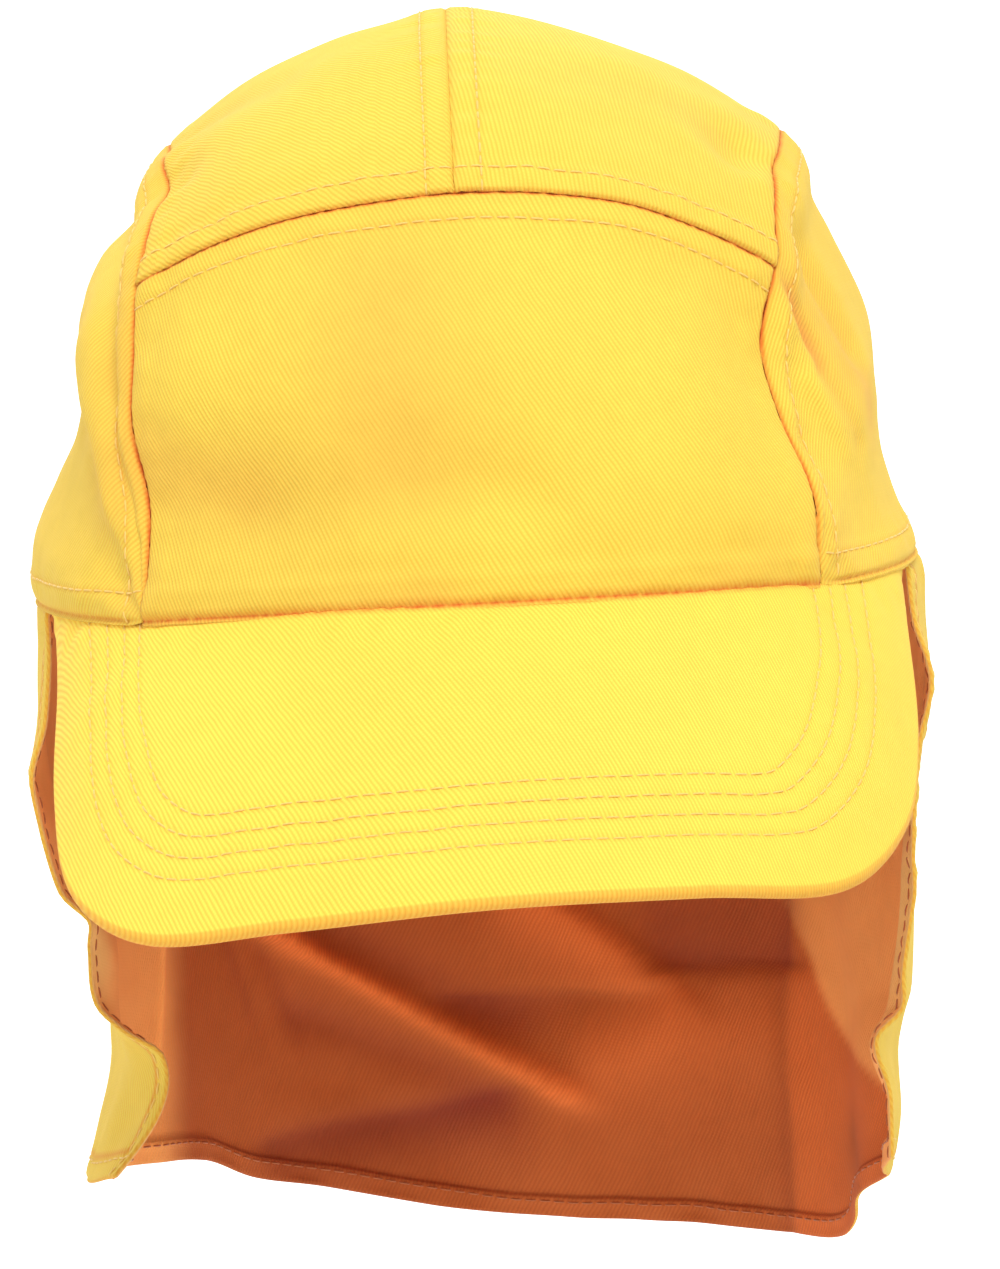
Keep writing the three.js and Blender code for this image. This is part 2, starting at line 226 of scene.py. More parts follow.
def grid_normals(points: Array, centre: Array) -> Array:
    """The normals of a grid of points, on the side away from a centre."""
    across, along = np.gradient(points, axis=0), np.gradient(points, axis=1)
    normals = unit(np.cross(unit(across), unit(along)))
    away = np.sum(normals * (points - centre), axis=-1)
    return normals if np.median(away) > 0 else -normals


def line_lengths(points: Array) -> Array:
    """The length along a line of points, up to each of them."""
    steps = np.linalg.norm(np.diff(points, axis=0), axis=-1)
    return np.concatenate([[0.0], np.cumsum(steps)])


def lengths_across(grid: Array) -> Array:
    """The length along each line of a grid's second axis, up to each of its points."""
    steps = np.linalg.norm(np.diff(grid, axis=1), axis=-1)
    return np.concatenate([np.zeros((len(steps), 1)), np.cumsum(steps, axis=1)], axis=1)


def resample(points: Array, count: int) -> Array:
    """The same line with evenly spaced points."""
    lengths = line_lengths(points)
    wanted = np.linspace(0, lengths[-1], count)
    return np.stack([np.interp(wanted, lengths, points[:, k]) for k in range(points.shape[1])], -1)


def nearest_on_line(
    points: Array, line: Array, spacing: float = 0.8, batch: int = 4000
) -> tuple[Array, Array]:
    """Measures each point of a grid against a line.

    Args:
        points: A grid of points.
        line: The line's points.
        spacing: How close together the places tried on the line are.
        batch: How many points are measured at once, which keeps the arrays small.

    Returns:
        The distance to the line, and how far along the line its nearest place is.
    """
    dense = resample(line, max(40, int(line_lengths(line)[-1] / spacing)))
    along = line_lengths(dense)
    flat = points.reshape(-1, 3)
    distance, place = np.empty(len(flat)), np.empty(len(flat))
    for start in range(0, len(flat), batch):
        part = flat[start : start + batch]
        apart = np.linalg.norm(part[:, None] - dense[None], axis=-1)
        best = apart.argmin(axis=1)
        distance[start : start + batch] = apart[np.arange(len(part)), best]
        place[start : start + batch] = along[best]
    return distance.reshape(points.shape[:-1]), place.reshape(points.shape[:-1])


def shares(total: float, step: float, starts_fine: bool = True, ends_fine: bool = True) -> Array:
    """Places along a length, from 0 to 1, closer together near the sewn edges.

    Args:
        total: The length in millimetres.
        step: The plain spacing in millimetres.
        starts_fine: True where the near end is a sewn edge.
        ends_fine: True where the far end is a sewn edge.

    Returns:
        Rising shares of the length.
    """
    fine = np.array(FINE_STEPS)
    head = fine if starts_fine else np.array([0.0])
    tail = total - (fine if ends_fine else np.array([0.0]))[::-1]
    count = max(2, round((tail[0] - head[-1]) / step) + 1)
    middle = np.linspace(head[-1], tail[0], count)
    return np.concatenate([head[:-1], middle, tail[1:]]) / total


@dataclass(frozen=True)
class HeadOpening:
    """The rim of the crown, where the cap sits on a head."""

    half_width: float = 84.0
    half_length: float = 93.0
    squareness: float = 2.3
    front_lift: float = 2.2

    def point(self, degrees: Array) -> Array:
        """Points of the rim, by the angle from the front towards +X."""
        angle = np.radians(degrees)
        s = np.abs(np.sin(angle)) / self.half_width
        c = np.abs(np.cos(angle)) / self.half_length
        radius = (s**self.squareness + c**self.squareness) ** (-1 / self.squareness)
        return np.stack([radius * np.sin(angle), -radius * np.cos(angle), np.zeros_like(radius)], -1)

    def outward(self, degrees: Array) -> Array:
        """The level way out of the rim, at an angle from the front."""
        ahead = self.point(degrees + 0.5) - self.point(degrees - 0.5)
        return unit(np.stack([ahead[..., 1], -ahead[..., 0], np.zeros_like(ahead[..., 0])], -1))

    def half_width_at(self, y: Array) -> Array:
        """The rim's half width at a place along the head."""
        share = np.clip(np.abs(y) / self.half_length, 0, 1)
        return self.half_width * (1 - share**self.squareness) ** (1 / self.squareness)

    def length_at(self, x: Array) -> Array:
        """The rim's half length at a place across the head."""
        share = np.clip(np.abs(x) / self.half_width, 0, 1)
        return self.half_length * (1 - share**self.squareness) ** (1 / self.squareness)


def turned(across: Array, edge: Array, squareness: Array) -> Array:
    """How far a section has turned from its middle, 0, to its edge, 1."""

    def curve(x: Array) -> Array:
        """How far the section has turned at a place."""
        return 1 - (1 - np.clip(x, 0, 1) ** squareness) ** (1 / squareness)

    return curve(np.abs(across) * edge) / curve(edge)


@dataclass(frozen=True)
class SeamStyle:
    """The relief and the painted shade that a seam gives the cloth beside it, in millimetres.

    The cloth rises over edge from the seam, stays up as far as band, where the row of stitches is,
    and comes down over fall. The groove is the seam itself, and the puckers are fullest between it
    and the row. Shades are painted shade in the seam's groove, softly beside it and along its row
    of stitches, and run from 0 to 1.
    """

    rise: float = 0.3
    edge: float = 0.9
    groove: float = 0.25
    groove_width: float = 0.4
    band: float = 5.0
    fall: float = 3.0
    row_depth: float = 0.22
    row_width: float = 0.6
    pucker: float = 0.16
    pucker_lengths: tuple[float, float] = (5.0, 14.0)
    shade: float = 0.12
    shade_width: float = 0.35
    soft: float = 0.1
    soft_width: float = 1.4
    row_shade: float = 0.16
    row_shade_width: float = 0.45

    def rises(self, away: Array, along: Array, seed: int) -> Array:
        """How far the cloth stands out beside the seam.

        Args:
            away: Distance from the seam.
            along: Place along the seam.
            seed: Picks the puckers.

        Returns:
            Height of each point.
        """
        falls = smooth_step((away - self.band + self.row_width) / self.fall)
        plateau = smooth_step(away / self.edge) * (1 - falls)
        row = self.row_depth * bell((away - self.band) / self.row_width)
        pucker = Ripple(seed, *self.pucker_lengths).read(np.stack([along, 0.35 * away], -1))
        pucker = pucker * bell((away - 0.7 * self.band) / self.band) * smooth_step((away - 0.3) / 2.0)
        return self.rise * plateau - row + self.pucker * pucker

    def sinks(self, away: Array) -> Array:
        """How deep the seam itself pulls the cloth in."""
        return self.groove * bell(away / self.groove_width)

    def shades(self, away: Array) -> Array:
        """How much painted shade the seam, the cloth beside it and its row of stitches take, from 0 to 1.
        """
        row = self.row_shade * bell((away - self.band) / self.row_shade_width) * (self.row_depth > 0)
        line = self.shade * bell(away / self.shade_width)
        return np.maximum(np.maximum(line, self.soft * bell(away / self.soft_width)), row)


PLAIN_SEAM = SeamStyle()
SIDE_SEAM = SeamStyle(rise=0.45, groove=0.3, groove_width=0.5, shade=1.0, shade_width=0.5, soft=0.16)
FOLDED_EDGE = SeamStyle(
    rise=0.95, edge=0.7, groove=0.05, row_depth=0.4, pucker=0.2, shade=0.9, shade_width=0.3
)
UNDER_EDGE = SeamStyle(rise=0.25, groove=0.1, groove_width=0.7, pucker=0.2, shade=1.0, shade_width=0.5)
BASE_SEAM = SeamStyle(rise=0.45, groove=0.3, groove_width=0.55, shade=0.55, shade_width=0.5)
BARE_SEAM = SeamStyle(rise=0.2, groove=0.35, groove_width=0.5, row_depth=0, shade=0.7, shade_width=0.42)
BROW_SEAM = SeamStyle(rise=0.5, edge=1.2, groove=0.1, row_depth=0, shade=1.0, shade_width=0.48, soft=0.32)
FLAP_SEAM = SeamStyle(rise=0.0, groove=0.9, groove_width=1.2, row_depth=0, shade=0.6, shade_width=0.8)
PEAK_SEAM = SeamStyle(
    rise=0.2, groove=0.1, groove_width=0.5, row_depth=0, shade=1.0, shade_width=0.55, soft=0.0
)


@dataclass
class Thread:
    """Rows of stitches that are made into one piece.

    Each ring of a stitch has a place in shares of its length, a height in shares of lift, and a
    width in shares of radius.
    """

    pitch: float = 3.0
    length: float = 2.35
    radius: float = 0.19
    lift: float = 0.13
    sides: int = 6
    rings: tuple[tuple[float, ...], ...] = (
        (-0.5, -0.3, 0.45),
        (-0.36, 0.55, 0.95),
        (0.0, 1.0, 1.0),
        (0.36, 0.55, 0.95),
        (0.5, -0.3, 0.45),
    )
    points: list[Array] = field(default_factory=list)
    faces: list[Array] = field(default_factory=list)
    count: int = 0

    def sew(self, line: Array, normals: Array) -> None:
        """Sews one row of stitches along a line on the cloth.

        Args:
            line: The row's points.
            normals: The cloth's normal at each point.
        """
        lengths = line_lengths(line)
        number = int(lengths[-1] / self.pitch)
        if number < 2:
            return
        places, heights, widths = np.array(self.rings).T
        places, heights, widths = places * self.length, heights * self.lift, widths * self.radius
        turn = np.arange(self.sides) * 2 * math.pi / self.sides
        for k in range(number):
            at = (k + 0.5) * lengths[-1] / number + places
            spine = np.stack([np.interp(at, lengths, line[:, c]) for c in range(3)], -1)
            up = unit(np.stack([np.interp(at, lengths, normals[:, c]) for c in range(3)], -1))
            forward = unit(spine[-1] - spine[0])
            sideways = unit(np.cross(up, forward))
            spine = spine + up * heights[:, None]
            ring = sideways[:, None] * np.cos(turn)[None, :, None]
            ring = ring + up[:, None] * np.sin(turn)[None, :, None]
            self.add_tube((spine[:, None] + ring * widths[:, None, None]).reshape(-1, 3))

    def add_tube(self, points: Array) -> None:
        """Adds one closed stitch from its rings of points."""
        start, n, rings = self.count, self.sides, len(self.rings)
        for r in range(rings - 1):
            a = start + r * n + np.arange(n)
            b = start + r * n + (np.arange(n) + 1) % n
            self.faces.extend(np.stack([a, b, b + n, a + n], -1).tolist())
        self.faces.append((start + np.arange(n)[::-1]).tolist())
        self.faces.append((start + (rings - 1) * n + np.arange(n)).tolist())
        self.points.append(points)
        self.count += len(points)

    def build(self, name: str, finish: Material) -> Piece:
        """Makes the piece from all the rows sewn so far."""
        mesh = bpy.data.meshes.new(name)
        mesh.from_pydata((np.concatenate(self.points) * METRES).tolist(), [], self.faces)
        mesh.polygons.foreach_set("use_smooth", [True] * len(mesh.polygons))
        mesh.materials.append(finish)
        return add_piece(name, mesh)


def turn_to_grain(u: Array, v: Array, grain: float) -> Array:
    """Lays cloth out in metres, turned so that the ribs run along the second axis.

    Args:
        u: The first coordinates in millimetres.
        v: The second coordinates in millimetres.
        grain: The way of the ribs in degrees.

    Returns:
        The flat places.
    """
    a = math.radians(grain)
    return np.stack([u * math.sin(a) - v * math.cos(a), u * math.cos(a) + v * math.sin(a)], -1) * METRES


def write_mark(mesh: Mesh, name: str, values: Array) -> None:
    """Gives the mesh a number at each point, for its finish to read."""
    mark = mesh.attributes.new(name, "FLOAT", "POINT")
    mark.data.foreach_set("value", values.astype(np.float32).ravel())


def write_cloth(mesh: Mesh, places: Array) -> None:
    """Gives the mesh the flat places of its points as the layer that the weave follows."""
    points = np.zeros(len(mesh.loops), int)
    mesh.loops.foreach_get("vertex_index", points)
    mesh.uv_layers.new(name="cloth").uv.foreach_set("vector", places.astype(np.float32)[points].ravel())


def add_piece(name: str, mesh: Mesh) -> Piece:
    """Adds a mesh to the scene as a piece that rides on the cap.

    Args:
        name: The piece's name.
        mesh: Its finished mesh.

    Returns:
        The new object.
    """
    mesh.update()
    piece = bpy.data.objects.new(name, mesh)
    bpy.context.scene.collection.objects.link(piece)
    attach(piece, "root")
    return piece


@dataclass
class ClothSheet:
    """A sheet of cloth with an outer and an inner face, from a grid of outer points."""

    outer: Array
    centre: Array
    thick: float | Array = 1.2
    grain: float = 60.0
    extra: dict[str, Array] = field(default_factory=dict)
    inner_extra: dict[str, Array] = field(default_factory=dict)
    flat: Array | None = None

    def __post_init__(self) -> None:
        """Works out the normals and starts with empty maps."""
        self.normals = grid_normals(self.outer, self.centre)
        self.crease, self.rise, self.sink = (np.zeros(self.outer.shape[:2]) for _ in range(3))

    def raise_by(self, heights: Array) -> None:
        """Moves the outer face out by a height at each point."""
        self.outer = self.outer + self.normals * heights[..., None]
        self.normals = grid_normals(self.outer, self.centre)

    def sew_edge(self, edge: Array, style: SeamStyle, seed: int, share: float | Array = 1.0) -> Array:
        """Notes the relief and the painted shade of a seam; press_seams gives the relief to the cloth,
        and build gives it the shade.

        Args:
            edge: The seam's line.
            style: The seam's relief.
            seed: Picks its puckers.
            share: How much of the seam shows at each point.

        Returns:
            The distance of each point from the seam.
        """
        away, along = nearest_on_line(self.outer, edge)
        self.rise += style.rises(away, along, seed) * share
        self.sink = np.maximum(self.sink, style.sinks(away) * share)
        self.crease = np.maximum(self.crease, style.shades(away) * share)
        return away

    def press_seams(self) -> None:
        """Gives the cloth the relief of all its seams."""
        self.raise_by(self.rise - self.sink)

    def row_at(self, away: Array, distance: float, axis: int, from_end: bool) -> tuple[Array, Array]:
        """Finds the line at a distance from an edge.

        Args:
            away: The distance of each grid point from the edge.
            distance: The wanted distance.
            axis: The grid axis that crosses the line.
            from_end: True where the edge is at that axis's far end.

        Returns:
            Points and normals of the line.
        """
        grid, normals = self.outer, self.normals
        if axis == 0:
            away, grid, normals = away.T, grid.swapaxes(0, 1), normals.swapaxes(0, 1)
        if from_end:
            away, grid, normals = away[:, ::-1], grid[:, ::-1], normals[:, ::-1]
        past = away > distance
        found = past.any(axis=1) & ~past[:, 0]
        rows = np.nonzero(found)[0]
        j = past[rows].argmax(axis=1)
        low, high = away[rows, j - 1], away[rows, j]
        t = ((distance - low) / np.maximum(high - low, 1e-6))[:, None]
        line = mix(grid[rows, j - 1], grid[rows, j], t)
        return line, unit(mix(normals[rows, j - 1], normals[rows, j], t))

    def cloth_coordinates(self) -> Array:
        """Lays the grid out flat, turned so that the ribs of the weave run along the second axis."""
        if self.flat is not None:
            return turn_to_grain(self.flat[..., 0], self.flat[..., 1], self.grain)
        across = np.linalg.norm(np.diff(self.outer, axis=0), axis=-1)
        middle = self.outer.shape[1] // 2
        u = np.concatenate([[0], np.cumsum(across[:, middle])])
        u = u[:, None] - u[len(u) // 2] + np.zeros(self.outer.shape[:2])
        return turn_to_grain(u, lengths_across(self.outer), self.grain)

    def build(self, name: str, palette: Palette) -> Piece:
        """Makes the piece.

        Args:
            name: The piece's name.
            palette: The finishes, of which it takes the cloth's outer and inner one.

        Returns:
            The new object.
        """
        nu, nv = self.outer.shape[:2]
        thick = np.broadcast_to(self.thick, (nu, nv))[..., None]
        inner = self.outer - self.normals * thick
        points = np.concatenate([self.outer.reshape(-1, 3), inner.reshape(-1, 3)])
        layer = nu * nv
        index = np.arange(layer).reshape(nu, nv)
        corners = [index[:-1, :-1], index[1:, :-1], index[1:, 1:], index[:-1, 1:]]
        quads = np.stack(corners, -1).reshape(-1, 4)
        sample = quads[len(quads) // 2]
        a, b, c = points[sample[:3]]
        faces_in = np.dot(np.cross(b - a, c - b), self.normals.reshape(-1, 3)[sample[0]]) < 0
        quads = quads[:, ::-1] if faces_in else quads
        rim = np.concatenate([index[:-1, 0], index[-1, :-1], index[:0:-1, -1], index[0, :0:-1]])
        ahead = np.roll(rim, -1)
        sides = np.stack([ahead, rim, rim + layer, ahead + layer], -1)
        sides = sides[:, ::-1] if faces_in else sides
        faces = np.concatenate([quads, quads[:, ::-1] + layer, sides])
        mesh = bpy.data.meshes.new(name)
        mesh.from_pydata((points * METRES).tolist(), [], faces.tolist())
        mesh.polygons.foreach_set("use_smooth", [True] * len(faces))
        kinds = np.zeros(len(faces), int)
        kinds[len(quads) : 2 * len(quads)] = 1
        for finish in palette.cloth:
            mesh.materials.append(finish)
        mesh.polygons.foreach_set("material_index", kinds)
        write_cloth(mesh, np.tile(self.cloth_coordinates().reshape(-1, 2), (2, 1)))
        # The crease mark is painted shade at seams, stitches and edges; the other marks are painted light
        # and shade
        for mark_name, values in {"crease": self.crease, **self.extra}.items():
            write_mark(mesh, mark_name, np.tile(values.ravel(), 2))
        for mark_name, values in self.inner_extra.items():
            write_mark(mesh, mark_name, np.concatenate([np.zeros(layer), values.ravel()]))
        return add_piece(name, mesh)


@dataclass
class Crown:
    """The five cloth panels that cover the head, with their seams and stitches.

    Strip places the band over the head from the forehead, at 0, to the nape, at 1. Its columns that
    end in z are shares of height, square says how square its section is, and the others are shares
    of the opening's half sizes. Stand is how far the side panels stand out on the way up, in shares
    of the half width. A panel's size is its length along its two grid axes, its grain is the way of
    its ribs in degrees, and its seed picks the puckers of its seams. Wear is the height and the
    waves of the cloth's unevenness.

    A side panel tapers to its tips. Where it is less than side_high tall, its seams and thickness
    fade, down to the shares of side_least at side_low. Where it is less than side_sound tall, it
    takes the normals from beside.
    """

    opening: HeadOpening = HeadOpening()
    height: float = 106.5
    centre_height: float = 25.0
    rim_fade: float = 14.0
    front_seam_at: float = 0.24
    side_tips: tuple[float, float] = (0.008, 0.99)
    side_full_share: float = 0.7
    step: float = 1.3
    tuck: float = 0.8
    tuck_fade: float = 2.5
    thickness: float = 1.2
    front_size: tuple[float, float] = (150, 78)
    top_size: tuple[float, float] = (68, 245)
    side_size: tuple[float, float] = (200, 92)
    front_grain: float = 118
    top_grains: tuple[float, float] = (50, 99)
    side_grain: float = 58
    front_seed: int = 21
    top_seeds: tuple[int, int] = (30, 40)
    side_seeds: tuple[int, int] = (50, 60)
    side_low: float = 3.0
    side_high: float = 17.0
    side_sound: float = 7.0
    side_least: tuple[float, float] = (0.15, 0.3)
    wear: tuple[tuple[float, Ripple], ...] = ((0.38, Ripple(11, 34, 80)), (0.1, Ripple(12, 11, 24, 20)))
    strip: Table = Table(
        "at mid_y mid_z left right edge_y left_z right_z square",
        (
            (0, -1, 0, 0.725, 0.745, -0.75, 0, 0, 2.3),
            (0.06, -0.985, 0.18, 0.705, 0.74, -0.71, 0.16, 0.145, 2.3),
            (0.12, -0.94, 0.39, 0.735, 0.68, -0.66, 0.31, 0.285, 2.2),
            (0.18, -0.865, 0.57, 0.72, 0.655, -0.61, 0.45, 0.415, 2.05),
            (0.24, -0.775, 0.708, 0.705, 0.69, -0.555, 0.562, 0.534, 1.9),
            (0.3, -0.65, 0.815, 0.685, 0.7, -0.46, 0.66, 0.63, 1.75),
            (0.37, -0.46, 0.905, 0.66, 0.72, -0.29, 0.74, 0.705, 1.65),
            (0.45, -0.2, 0.975, 0.648, 0.745, -0.06, 0.779, 0.744, 1.62),
            (0.54, 0.12, 1, 0.648, 0.745, 0.2, 0.78, 0.748, 1.62),
            (0.63, 0.43, 0.945, 0.65, 0.715, 0.4, 0.73, 0.71, 1.7),
            (0.72, 0.7, 0.805, 0.64, 0.67, 0.58, 0.62, 0.61, 1.85),
            (0.81, 0.88, 0.58, 0.615, 0.625, 0.72, 0.44, 0.44, 2.1),
            (0.9, 0.97, 0.31, 0.585, 0.585, 0.81, 0.23, 0.23, 2.25),
            (1, 1, 0, 0.56, 0.56, 0.868, 0, 0, 2.3),
        ),
    )
    stand: Table = Table(
        "at left right",
        (
            (0, 0, 0),
            (0.07, 0.03, 0),
            (0.16, 0.048, -0.006),
            (0.27, 0.03, 0.005),
            (0.38, 0.012, 0.031),
            (0.52, 0.03, 0.06),
            (0.66, 0.08, 0.052),
            (0.76, 0.07, 0.036),
            (0.84, 0.02, 0.024),
            (0.93, 0.034, 0.035),
            (1, 0, 0),
        ),
    )
    folds: tuple[Fold, ...] = (
        Fold((55, -28, 79), (52, -33, 77), 7, 3.5),
        Fold((-55, -28, 79), (-52, -32, 77), 7, 2.6),
        Fold((64, -39, 61), (71, -33, 40), 4.8, 3.2),
        Fold((60, -51, 43), (66, -46, 28), 4.8, -1.4),
        Fold((-66, -46, 29), (-62, -56, 17), 6, 2.3, -0.4),
        Fold((8, -79, 62), (-8, -79, 60), 21, 1.6),
        Fold((-42, -84, 17), (8, -91, 21), 9, 1.3),
        Fold((-17, 88, 43), (13, 88, 38), 16, 2.4),
        Fold((-14, -84, 60), (-14, -90, 27), 17, 1.7, -0.36),
        Fold((-62, -60, 29), (-40, -78, 22), 10, 1.8, -0.36),
        Fold((-57, -66, 4), (-8, -92, 2), 6.5, 0.8, -0.3),
        Fold((6, -91, 11), (-18, -90, 13), 8, -1.2, 0.12),
        Fold((34, -80, 40), (32, -84, 24), 17, -1.6, 0.12),
        Fold((-50, -72, 52), (-52, -72, 40), 9, -0.8, 0.08),
        Fold((60.5, -53, 57), (65.5, -47, 38), 1.8, 2.0, -1.0),
        Fold((63, -50, 58), (69, -43, 36), 5.5, 0.7, -0.2),
        Fold((70, -40, 58), (76, -34, 30), 7, 0.5, -0.45),
        Fold((63, -52, 36), (68, -48, 22), 1.8, -0.9, 0.1),
        Fold((66, -49, 37), (71, -44, 24), 2.0, 0.8, -0.3),
        Fold((-66, -50, 60), (-64, -54, 44), 5.5, 1.0, -0.35),
        Fold((-76, -30, 52), (-74, -34, 36), 6, 1.2, -0.2),
        Fold((44, -79, 3), (62, -60, 5), 6, 0.6, -0.28),
        Fold((-36, -20, 98), (-52, -6, 86), 7, 1.0, -0.15),
        Fold((30, -36, 98), (48, -30, 88), 8, 0.9, -0.12),
    )

    @property
    def centre(self) -> Array:
        """A point inside the crown that its walls face away from."""
        return np.array([0, 0, self.centre_height])

    def strip_point(self, across: Array, along: Array) -> Array:
        """Points of the strip over the head.

        Args:
            across: From the left edge, -1, to the right edge, 1.
            along: From the forehead, 0, to the nape, 1.

        Returns:
            The points.
        """
        across, along = np.broadcast_arrays(np.asarray(across, float), np.asarray(along, float))
        left = across < 0
        edge = np.where(left, self.strip.read("left", along), self.strip.read("right", along))
        bend = turned(across, edge, self.strip.read("square", along))
        mid_y = self.strip.read("mid_y", along) * self.opening.half_length
        mid_z = self.strip.read("mid_z", along) * self.height
        edge_z = np.where(left, self.strip.read("left_z", along), self.strip.read("right_z", along))
        edge_z = edge_z * self.height
        edge_y = self.strip.read("edge_y", along) * self.opening.half_length
        rim = np.sign(edge_y) * self.opening.length_at(edge * self.opening.half_width)
        edge_y = mix(edge_y, rim, 1 - smooth_step(edge_z / self.rim_fade))
        x = across * edge * self.opening.half_width
        return np.stack([x, mix(mid_y, edge_y, bend), mix(mid_z, edge_z, bend)], -1)

    def side_point(self, side: Side, back: Array, up: Array) -> Array:
        """Points of a side panel, a share of the way back and up from the rim to its seam."""
        tips = self.side_tips
        sign = side.value
        seam = self.strip_point(sign, mix(tips[0], tips[1], back))
        ends = self.strip_point(sign, np.array(tips))[:, 1]
        foot_y = mix(ends[0], ends[1], back)
        foot_x = sign * self.opening.half_width_at(foot_y)
        stand = self.stand.read(side.name.lower(), up) * self.opening.half_width
        tall = np.minimum(seam[..., 2] / (self.height * self.side_full_share), 1)
        return np.stack(
            [
                mix(foot_x, seam[..., 0], up) + sign * stand * tall,
                mix(foot_y, seam[..., 1], up),
                seam[..., 2] * up,
            ],
            -1,
        )

    def crumple(self, points: Array) -> Array:
        """Presses the folds and the soft unevenness of worn cloth into points of the crown."""
        press = sum(f.share(points) * f.deep for f in self.folds)
        for height, ripple in self.wear:
            press = press - height * ripple.read(points)
        fade = smooth_step(points[..., 2] / self.rim_fade)
        return points - unit(points - self.centre) * (press * fade)[..., None]

    def tuck_under(self, up: Array) -> Array:
        """How far the cloth is turned down past the rim, by its distance above the lower edge."""
        return self.tuck * (1 - smooth_step(up / self.tuck_fade))

    def above_tuck(self, edge: Array) -> Array:
        """The visible seam line above a tucked lower edge."""
        return edge + np.array([0, 0, self.tuck])

    def panel(
        self, pick: Callable[[Array, Array], Array], u: Array, v: Array, grain: float
    ) -> ClothSheet:
        """Lays one panel out.

        Args:
            pick: Gives the panel's points from its own two coordinates.
            u: The first coordinates of the grid.
            v: The second coordinates of the grid.
            grain: The way of the ribs in degrees.

        Returns:
            The cloth, without its seams.
        """
        points = pick(u[:, None], v[None, :])
        sheet = ClothSheet(self.crumple(points), self.centre, grain=grain)
        # Painted light and painted shade along the folds
        sheet.extra["tone"] = sum(f.share(points) * f.tone for f in self.folds)
        return sheet

    def finish_panel(
        self, name: str, sheet: ClothSheet, sewing: Thread, palette: Palette
    ) -> Piece:
        """Makes a panel's cloth and stitches, in place of its plain solid.

        Args:
            name: The name of the panel's node in the frame.
            sheet: Its cloth.
            sewing: Its rows of stitches.
            palette: The finishes.

        Returns:
            The panel's cloth.
        """
        piece = sheet.build(f"{name}_cloth", palette)
        sewing.build(f"{name}_stitches", palette.thread)
        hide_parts(name)
        return piece

    def build(self, palette: Palette) -> list[Piece]:
        """Makes the five panels and their stitches."""
        made = [self.build_front(palette)]
        made += [self.build_top(side, palette) for side in Side]
        made += [self.build_side(side, palette) for side in Side]
        return made

    def build_front(self, palette: Palette) -> Piece:
        """Makes the front panel, whose top edge lies under the folded edge of the top panels."""

        def pick(u: Array, v: Array) -> Array:
            """Points from the left edge to the right and from the visor up."""
            points = self.strip_point(2 * u - 1, v * self.front_seam_at)
            x = points[..., 0]
            edge = np.where(x < 0, self.strip.rows[0][3], self.strip.rows[0][4])
            within = np.clip(np.abs(x) / (edge * self.opening.half_width), 0, 1)
            lift = self.opening.front_lift * (1 - turned(within, edge, self.opening.squareness))
            points[..., 2] += lift * (1 - v) - self.tuck_under(v * self.front_size[1])
            return points

        u, v = (shares(size, self.step) for size in self.front_size)
        sheet = self.panel(pick, u, v, self.front_grain)
        seed = self.front_seed
        top = sheet.sew_edge(sheet.outer[:, -1], UNDER_EDGE, seed)
        sheet.sew_edge(sheet.outer[0], BARE_SEAM, seed + 1)
        sheet.sew_edge(sheet.outer[-1], BARE_SEAM, seed + 2)
        sheet.sew_edge(self.above_tuck(sheet.outer[:, 0]), BROW_SEAM, seed + 3)
        sheet.press_seams()
        sewing = Thread()
        sewing.sew(*sheet.row_at(top, UNDER_EDGE.band, 1, True))
        return self.finish_panel("front_panel", sheet, sewing, palette)

    def build_top(self, side: Side, palette: Palette) -> Piece:
        """Makes one of the two top panels, which meet along the middle of the head."""

        def pick(u: Array, v: Array) -> Array:
            """Points from the centre seam to the side and from the front to the nape."""
            points = self.strip_point(np.maximum(u, 1e-5) * side.value, mix(self.front_seam_at, 1, v))
            points[..., 2] -= self.tuck_under((1 - v) * self.top_size[1])
            return points

        u, v = (shares(size, self.step) for size in self.top_size)
        sheet = self.panel(pick, u, v, side.choose(self.top_grains))
        seed = side.choose(self.top_seeds)
        front = sheet.sew_edge(sheet.outer[:, 0], FOLDED_EDGE, seed)
        middle = sheet.sew_edge(sheet.outer[0], PLAIN_SEAM, seed + 1)
        sheet.sew_edge(sheet.outer[-1], BARE_SEAM, seed + 2)
        base = sheet.sew_edge(self.above_tuck(sheet.outer[:, -1]), BASE_SEAM, seed + 3)
        sheet.press_seams()
        sewing = Thread()
        sewing.sew(*sheet.row_at(front, FOLDED_EDGE.band, 1, False))
        sewing.sew(*sheet.row_at(middle, PLAIN_SEAM.band, 0, False))
        sewing.sew(*sheet.row_at(base, BASE_SEAM.band, 1, True))
        return self.finish_panel(f"top_panel_{side.name.lower()}", sheet, sewing, palette)

    def build_side(self, side: Side, palette: Palette) -> Piece:
        """Makes one of the two D-shaped side panels."""
        long, tall = self.side_size
        u, v = shares(long, self.step, False, False), shares(tall, self.step)

        def pick(back: Array, up: Array) -> Array:
            """Points from the front to the back and from the rim up."""
            points = self.side_point(side, back, up)
            points[..., 2] -= self.tuck_under(up * tall) * smooth_step(points[:, -1:, 2] / 8)
            return points

